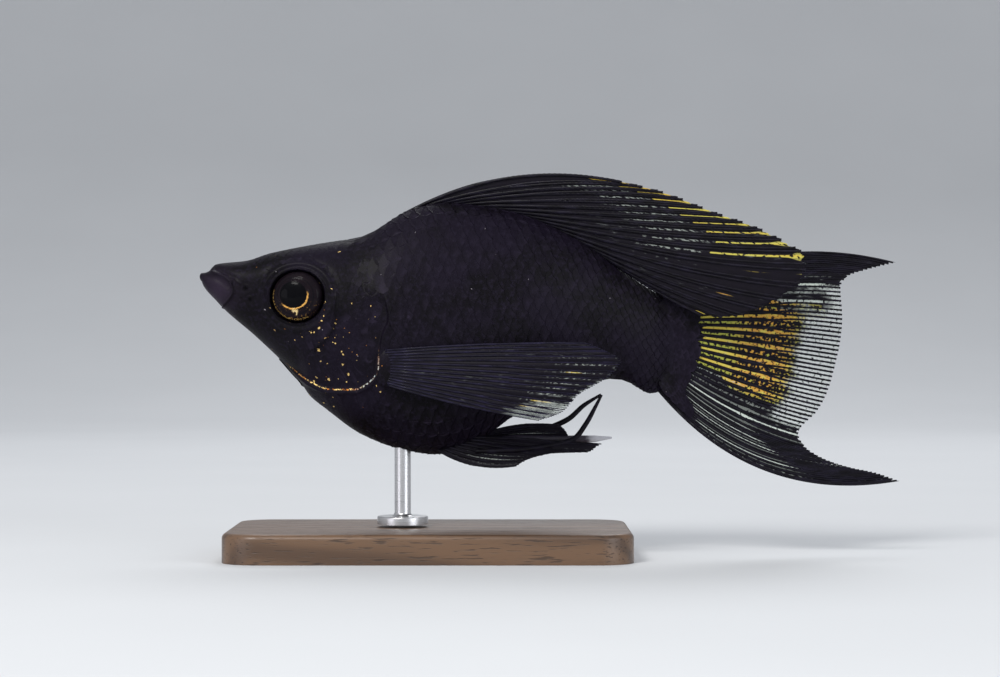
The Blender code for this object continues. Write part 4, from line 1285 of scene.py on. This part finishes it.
# %% [markdown]
# ## The tail fin
#
# The lyre tail has two long lobes, black like the body. Between them the web is gold from a few
# millimetres behind the stalk, deeper orange towards the rear, and clear at the margin. Its rays
# fork twice. They crowd together at the root, so their radius is held to a share of the room.

# %% Make the tail fin
TAIL_ROOT = 25.0
TAIL_ROOTS = ((TAIL_ROOT, 28.9), (TAIL_ROOT, 23.55), (TAIL_ROOT, 18.2))
TAIL_TIPS = (
    (52.1, 32.3), (49.4, 31.7), (46.6, 30.8), (45.8, 29.5), (46.0, 26.2), (45.8, 23.8),
    (45.3, 21.4), (44.4, 18.2), (43.2, 15.9), (41.0, 13.3), (41.8, 11.8), (43.9, 10.5),
    (46.7, 9.6), (49.9, 8.95), (TAIL_TIP, 8.1),
)


def tail_marks(spread, reach, points):
    start = 0.17 + 0.05 * step(spread, 0.5, 0.6)
    middle = step(spread, 0.14, 0.19) * step(spread, 0.60, 0.55)
    under = step(spread, 0.50, 0.55) * step(reach, 0.50, 0.38)
    above = step(spread, 0.30, 0.22) * step(reach, 0.52, 0.66)
    gold = middle * step(reach, start, start + 0.14) * step(reach, 0.97, 0.86)
    outer = step(spread, 0.17, 0.21) * step(spread, 0.66, 0.60) * step(reach, 0.70, 0.86)
    smudge = hump(spread - 0.235, 0.05) * hump(reach - 0.86, 0.09)
    upper_lobe = step(spread, 0.2, 0.16) * step(spread, 0.03, 0.08) * hump(reach - 0.72, 0.12)
    lower_lobe = step(spread, 0.58, 0.63) * step(spread, 1.0, 0.92) * step(reach, 0.16, 0.26)
    patches = hump(spread - 0.57, 0.05) * step(reach, 0.18, 0.25) * step(reach, 0.62, 0.5)
    inner_edge = step(spread, 0.30, 0.24) * step(spread, 0.14, 0.17) * step(reach, 0.6, 0.7)
    inner_edge *= step(reach, 0.97, 0.85)
    return {
        "gold": gold * (1.0 - 0.8 * under) * (1.0 - 0.8 * above),
        "deep": middle * step(reach, 0.38, 0.52) * step(reach, 0.80, 0.66),
        "worn": middle * step(reach, 0.38, 0.55),
        "clear": outer * (1.0 - smudge),
        "pale": np.maximum.reduce([0.45 * upper_lobe, lower_lobe, 0.5 * patches, 0.9 * inner_edge]),
        "wide": step(reach, 0.55, 0.70),
    }


tail = Fan(TAIL_ROOTS, TAIL_TIPS, 20, lambda spread: 0.2 - 0.49 * spread,
           lambda x, z, reach, spread: sway(x))
tail_lines = ray_lines(tail, (0.06, 0.55), (0.26, 0.22, 0.18, 0.15, 0.13), crowd=0.19)
hang_fin("tail_fin_{}", tail, tail_marks, tail_lines,
         (web_finish("tail web", streak=0.10, halves=True), rays_black), "tail_fin", "fin_caudal")

# %% [markdown]
# ## Scales on the root of the tail fin
#
# The body's scales don't stop at the stalk's end. A few rows of small ones run out over the
# roots of the rays on each side and end unevenly. They are laid as on the body, only that their
# surface is the fan of the tail, a little off its web.

# %% Lay the sheath of scales
SHEATH_ROWS = 26
SHEATH_STEP = 0.019
SHEATH_FROM, SHEATH_TO = 0.03, 0.19
SHEATH_COLUMNS = 11
SHEATH_EDGE = 0.07
SHEATH_FIRM = 1.35
SHEATH_OFF = line_through(((0.0, 1.1), (0.05, 0.75), (0.1, 0.52), (0.2, 0.33), (0.4, 0.27)))


def sheath_roots():
    random = np.random.default_rng(SCALE_SEED)
    roots = []
    for column in range(SHEATH_COLUMNS):
        reach = SHEATH_FROM + column * SHEATH_STEP
        for spread in half_shifted(column, SHEATH_ROWS):
            inside = SHEATH_EDGE < spread < 1.0 - SHEATH_EDGE
            if inside and reach < SHEATH_TO + random.uniform(-0.03, 0.03):
                roots.append((reach, spread))
    return np.array(roots)


def sheath_surface(side):
    """A side of the tail's root and the way off it. On the left the way round runs up, as on
    the body."""
    def ground(reach, around):
        return tail.at(1.0 - around if side < 0.0 else around, reach, side * SHEATH_OFF(reach))
    return ground, lambda reach, around: np.array([0.0, side, 0.0])


for name, side in SIDES.items():
    roots = sheath_roots()
    ground, upward = sheath_surface(side)
    x = ground(roots[:, 0], roots[:, 1])[:, 0]
    flat = unwrap(x, 0.5 * roots[:, 1] + (0.5 if side > 0.0 else 0.0))
    sheath = plates(f"tail_scales_{name}", roots, 1.0 / SHEATH_ROWS, 2.0 * SHEATH_STEP, SHEATH_FIRM,
                    ground, upward, flat)
    hang(sheath, scale_coat, "skin")

# %% [markdown]
# ## The pectoral fins
#
# Each pectoral fin is a fan on a small fleshy base behind the gill cover, flared away from the
# flank. Its lower rear part is almost clear between the rays. The base is a muscular lobe: a
# ball, pressed flat and half sunk in the flank, in the finish of the skin.

# %% Make the pectoral fins
PECTORAL_FROM = -4.0
PECTORAL_ROOTS = ((PECTORAL_FROM, 22.7), (-4.3, 20.8), (-3.9, 18.7))
PECTORAL_TIPS = (
    (17.1, 23.5), (19.5, 22.5), (21.0, 21.5), (19.8, 19.9), (18.2, 18.9), (16.6, 18.0),
    (14.5, 15.9), (12.0, 15.05),
)
PECTORAL_OUT = float(half_breadth(PECTORAL_FROM)) + FIN_GAP + 0.5
PECTORAL_FLARE = 0.075


def pectoral_marks(spread, reach, points):
    rear = step(spread, 0.64, 0.84) * step(reach, 0.64, 0.90)
    tips = step(reach, 0.95, 0.99) * step(spread, 0.25, 0.4)
    gold = 0.42 * step(spread, 0.15, 0.3) * step(spread, 0.95, 0.75) * hump(reach - 0.84, 0.12)
    return {"gold": gold, "clear": np.maximum(0.8 * rear, 0.4 * tips), "deep": gold,
            "worn": 0.5 * gold, "pale": np.maximum(0.3 * rear, gold)}


def pectoral_side(side):
    """How far out the fin is: it leaves its fleshy base and flares away from the flank."""
    def out(x, z, reach, spread):
        return side * (PECTORAL_OUT + PECTORAL_FLARE * (x - PECTORAL_FROM) - 0.7 * hump(x + 4.6, 1.3))
    return out


violet_fin = (web_finish("pectoral web", streak=0.06),
              ray_finish("pectoral rays", (0.006, 0.005, 0.012), (0.019, 0.016, 0.042)))
for name, side in SIDES.items():
    pectoral = Fan(PECTORAL_ROOTS, PECTORAL_TIPS, 15, lambda spread: 0.02 - 0.05 * spread,
                   pectoral_side(side))
    lines = ray_lines(pectoral, (0.45, 0.75), (0.12, 0.14, 0.10, 0.08, 0.05))
    hang_fin(f"pectoral_{{}}_{name}", pectoral, pectoral_marks, lines, violet_fin, "fin",
             f"fin_pectoral_{name}")

# %% Make their fleshy bases
LOBE_PLACE = (-4.2, 5.75, 20.7)
LOBE_RADII = (1.7, 0.55, 2.2)


def lobe(name, side):
    bm = bmesh.new()
    bmesh.ops.create_uvsphere(bm, u_segments=40, v_segments=24, radius=1.0)
    bmesh.ops.scale(bm, verts=bm.verts, vec=LOBE_RADII)
    bmesh.ops.translate(bm, verts=bm.verts, vec=(LOBE_PLACE[0], side * LOBE_PLACE[1], LOBE_PLACE[2]))
    return mark_piece(new_object(name, bm))


for name, side in SIDES.items():
    hang(lobe(f"pectoral_base_{name}", side), coat, "skin")

# %% [markdown]
# ## Pelvic fins and gonopodium
#
# The two pelvic fins lie back along the belly, each with a long filament that curves up behind.
# A filament is one more ray of its fin, made by the same rod. Behind them is the gonopodium,
# the male's rod of fused anal rays with a pale hooded tip, and over its root a small web of the
# short anal rays.

# %% Make the pelvic fins
PELVIC_OUT = 1.7
PELVIC_SPREAD = 0.9
FILAMENT_OUT = PELVIC_OUT + 0.45
PELVICS = {
    "left": {
        "roots": ((4.6, 13.1), (2.6, 12.4), (0.6, 11.9)),
        "tips": ((19.0, 12.4), (17.4, 11.5), (14.3, 11.5), (12.4, 11.2), (10.9, 10.75), (9.6, 10.0)),
        "bow": lambda spread: 0.02 - 0.22 * spread,
        "filament": ((5.0, 11.6), (9.0, 11.7), (13.0, 12.2), (15.7, 12.9), (17.1, 14.6),
                     (18.1, 16.4), (18.8, 17.75)),
    },
    "right": {
        "roots": ((4.8, 13.2), (2.8, 12.4), (0.8, 11.9)),
        "tips": ((14.2, 13.9), (14.9, 13.0), (13.6, 12.2), (12.0, 11.4), (10.0, 10.6)),
        "bow": lambda spread: 0.06 - 0.26 * spread,
        "filament": ((5.5, 12.0), (8.5, 12.7), (11.0, 13.3), (13.4, 14.1), (15.3, 15.0),
                     (17.0, 16.5), (18.9, 17.7)),
    },
}
FILAMENT_RADII = (0.22, 0.32, 0.34, 0.35, 0.34, 0.29, 0.16)


def pelvic_marks(spread, reach, points):
    cream = 0.7 * hump(spread - 0.75, 0.16) * hump(reach - 0.55, 0.3)
    return {"gold": 0.35 * cream, "pale": cream}


def single_ray(line, y, radii, count):
    """A ray of its own, along a line in the side view, with radii at even steps of it."""
    shares = np.linspace(0.0, 1.0, count)
    path = path_through([(x, y, z) for x, z in line])
    return path(shares), np.interp(shares, np.linspace(0.0, 1.0, len(radii)), radii)


for name, side in SIDES.items():
    shape = PELVICS[name]
    pelvic = Fan(shape["roots"], shape["tips"], 8, shape["bow"],
                 lambda x, z, reach, spread, side=side: side * (PELVIC_OUT + PELVIC_SPREAD * reach))
    filament = single_ray(shape["filament"], side * FILAMENT_OUT, FILAMENT_RADII, 60)
    lines = ray_lines(pelvic, (0.45,), (0.17, 0.16, 0.10, 0.07)) + [filament]
    hang_fin(f"pelvic_{{}}_{name}", pelvic, pelvic_marks, lines, black_fin, "fin", f"fin_pelvic_{name}")

# %% Make the gonopodium
ROD_LINE = ((5.0, 12.6), (6.0, 12.4), (9.6, 12.85), (13.4, 12.85), (17.2, 12.85), (20.0, 13.0))
ROD_RADII = (0.5, 0.55, 0.5, 0.46, 0.42, 0.40, 0.46, 0.42, 0.12)
ANAL_TIPS = ((14.3, 14.4), (14.9, 13.9), (15.3, 13.3), (15.4, 12.9))
ANAL_ROOTS = [(x, float(belly(x)) - 0.1) for x in (7.0, 6.4, 5.8)]
PALE_TIP = (17.9, 19.4)


def gonopodium_finish():
    pot = Pot("gonopodium", Roughness=0.4, Coat_Weight=0.3)
    tip = (pot.noise(1.2, 3.0) * 2.4 + pot.axis("X")).step(*PALE_TIP)
    black = pot.mix(pot.noise(2.0, 3.0), (0.010, 0.008, 0.013), (0.045, 0.036, 0.060))
    pot.give(Base_Color=pot.mix(tip, black, (0.50, 0.50, 0.54)))
    return pot.material


hang(fin_rays("gonopodium_rod", [single_ray(ROD_LINE, 0.0, ROD_RADII, 90)]), gonopodium_finish(), "fin",
     "gonopodium")
anal = Fan(ANAL_ROOTS, ANAL_TIPS, 6, lambda spread: 0.1 - 0.1 * spread, lambda x, z, reach, spread: 0.0 * x)
hang_fin("anal_{}", anal, pelvic_marks, ray_lines(anal, (0.5,), (0.15, 0.14, 0.09, 0.06)), black_fin, "fin")

# %% [markdown]
# ## The display stand
#
# A small walnut block carries the fish on one steel rod. The block is a box whose upright
# corners are rounded by one bevel and whose top edge by another. The rod is a profile spun
# round, with a collar where it enters the wood.

# %% Make the stand
BASE_LOW, BASE_HIGH = (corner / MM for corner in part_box("stand_base"))
ROD_LOW, ROD_HIGH = (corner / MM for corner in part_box("stand_rod"))
CORNER = 4.0
EDGE_ROUNDING = 0.6
STAND_SHARP = 35.0
ROD_PLACE = -3.0
ROD_RADIUS = 0.9
ROD_STEPS = 72
ROD_CHAMFER = 0.15
FILLET = 0.4
COLLAR_RADIUS = 2.8
COLLAR_HEIGHT = 0.9
COLLAR_ROUNDING = 0.2


def rounded(bm, edges, offset, segments):
    bmesh.ops.bevel(bm, geom=edges, offset=offset, segments=segments, profile=0.5, affect="EDGES",
                    material=-1)


def block():
    size, middle = BASE_HIGH - BASE_LOW, 0.5 * (BASE_HIGH + BASE_LOW)
    bm = bmesh.new()
    bmesh.ops.create_cube(bm, size=1.0)
    bmesh.ops.scale(bm, verts=bm.verts, vec=size)
    bmesh.ops.translate(bm, verts=bm.verts, vec=middle)
    rounded(bm, [e for e in bm.edges if abs(e.verts[0].co.z - e.verts[1].co.z) > 0.5 * size.z], CORNER, 20)
    rounded(bm, [e for e in bm.edges if all(v.co.z > middle.z for v in e.verts)], EDGE_ROUNDING, 5)
    return new_object("stand_block", bm, STAND_SHARP)


def pin():
    foot, top = ROD_LOW.z, ROD_HIGH.z
    shoulder = foot + COLLAR_HEIGHT
    quarter = np.linspace(0.0, math.pi / 2.0, 7)
    profile = [(0.0, top), (ROD_RADIUS - ROD_CHAMFER, top), (ROD_RADIUS, top - ROD_CHAMFER)]
    profile += [(ROD_RADIUS + FILLET * (1.0 - math.cos(a)), shoulder + FILLET * (1.0 - math.sin(a)))
                for a in quarter]
    profile += [(COLLAR_RADIUS - COLLAR_ROUNDING * (1.0 - math.sin(a)),
                 shoulder - COLLAR_ROUNDING * (1.0 - math.cos(a))) for a in quarter]
    bm = spun(profile + [(COLLAR_RADIUS, foot), (0.0, foot)], ROD_STEPS)
    bmesh.ops.translate(bm, verts=bm.verts, vec=(ROD_PLACE, 0.0, 0.0))
    return new_object("stand_pin", bm, STAND_SHARP)


# %% Mix walnut and steel
def walnut_finish():
    pot = Pot("walnut", Coat_Weight=0.25, Coat_Roughness=0.3)
    warp = pot.noise(0.08, 3.0, stretch=(0.16, 1.0, 1.0))
    across = pot.axis("Z") * 0.6 + pot.axis("Y")
    rings = pot.math("SINE", warp * 22.0 + across * 1.9)
    pores = pot.noise(1.0, stretch=(0.45, 5.5, 5.5)).step(0.56, 0.70)
    wood = pot.mix(rings.step(-1.0, 1.0), (0.078, 0.041, 0.021), (0.140, 0.076, 0.039))
    pot.give(Base_Color=pot.mix(pores * 0.7, wood, (0.022, 0.011, 0.006)), Roughness=pores * 0.25 + 0.42,
             Normal=pot.bump(1.0 - pores, 0.06, 0.5))
    return pot.material


def steel_finish():
    pot = Pot("brushed steel", Metallic=1.0)
    brushing = pot.noise(1.0, 3.0, stretch=(0.4, 0.4, 26.0))
    pot.give(Base_Color=pot.mix(brushing, (0.50, 0.50, 0.51), (0.68, 0.68, 0.69)),
             Roughness=brushing * 0.2 + 0.2, Normal=pot.bump(brushing, 0.01, 0.4))
    return pot.material


hang(block(), walnut_finish(), "stand_wood", "stand_base")
hang(pin(), steel_finish(), "stand_steel", "stand_rod")

# %% [markdown]
# ## Sizes
#
# A helper lists the corners of a box. The finished model has to keep to the box of the
# imported solids.

# %% A helper for the corners of a box
def corners(bounds):
    return [list(corner) for corner in bounds]
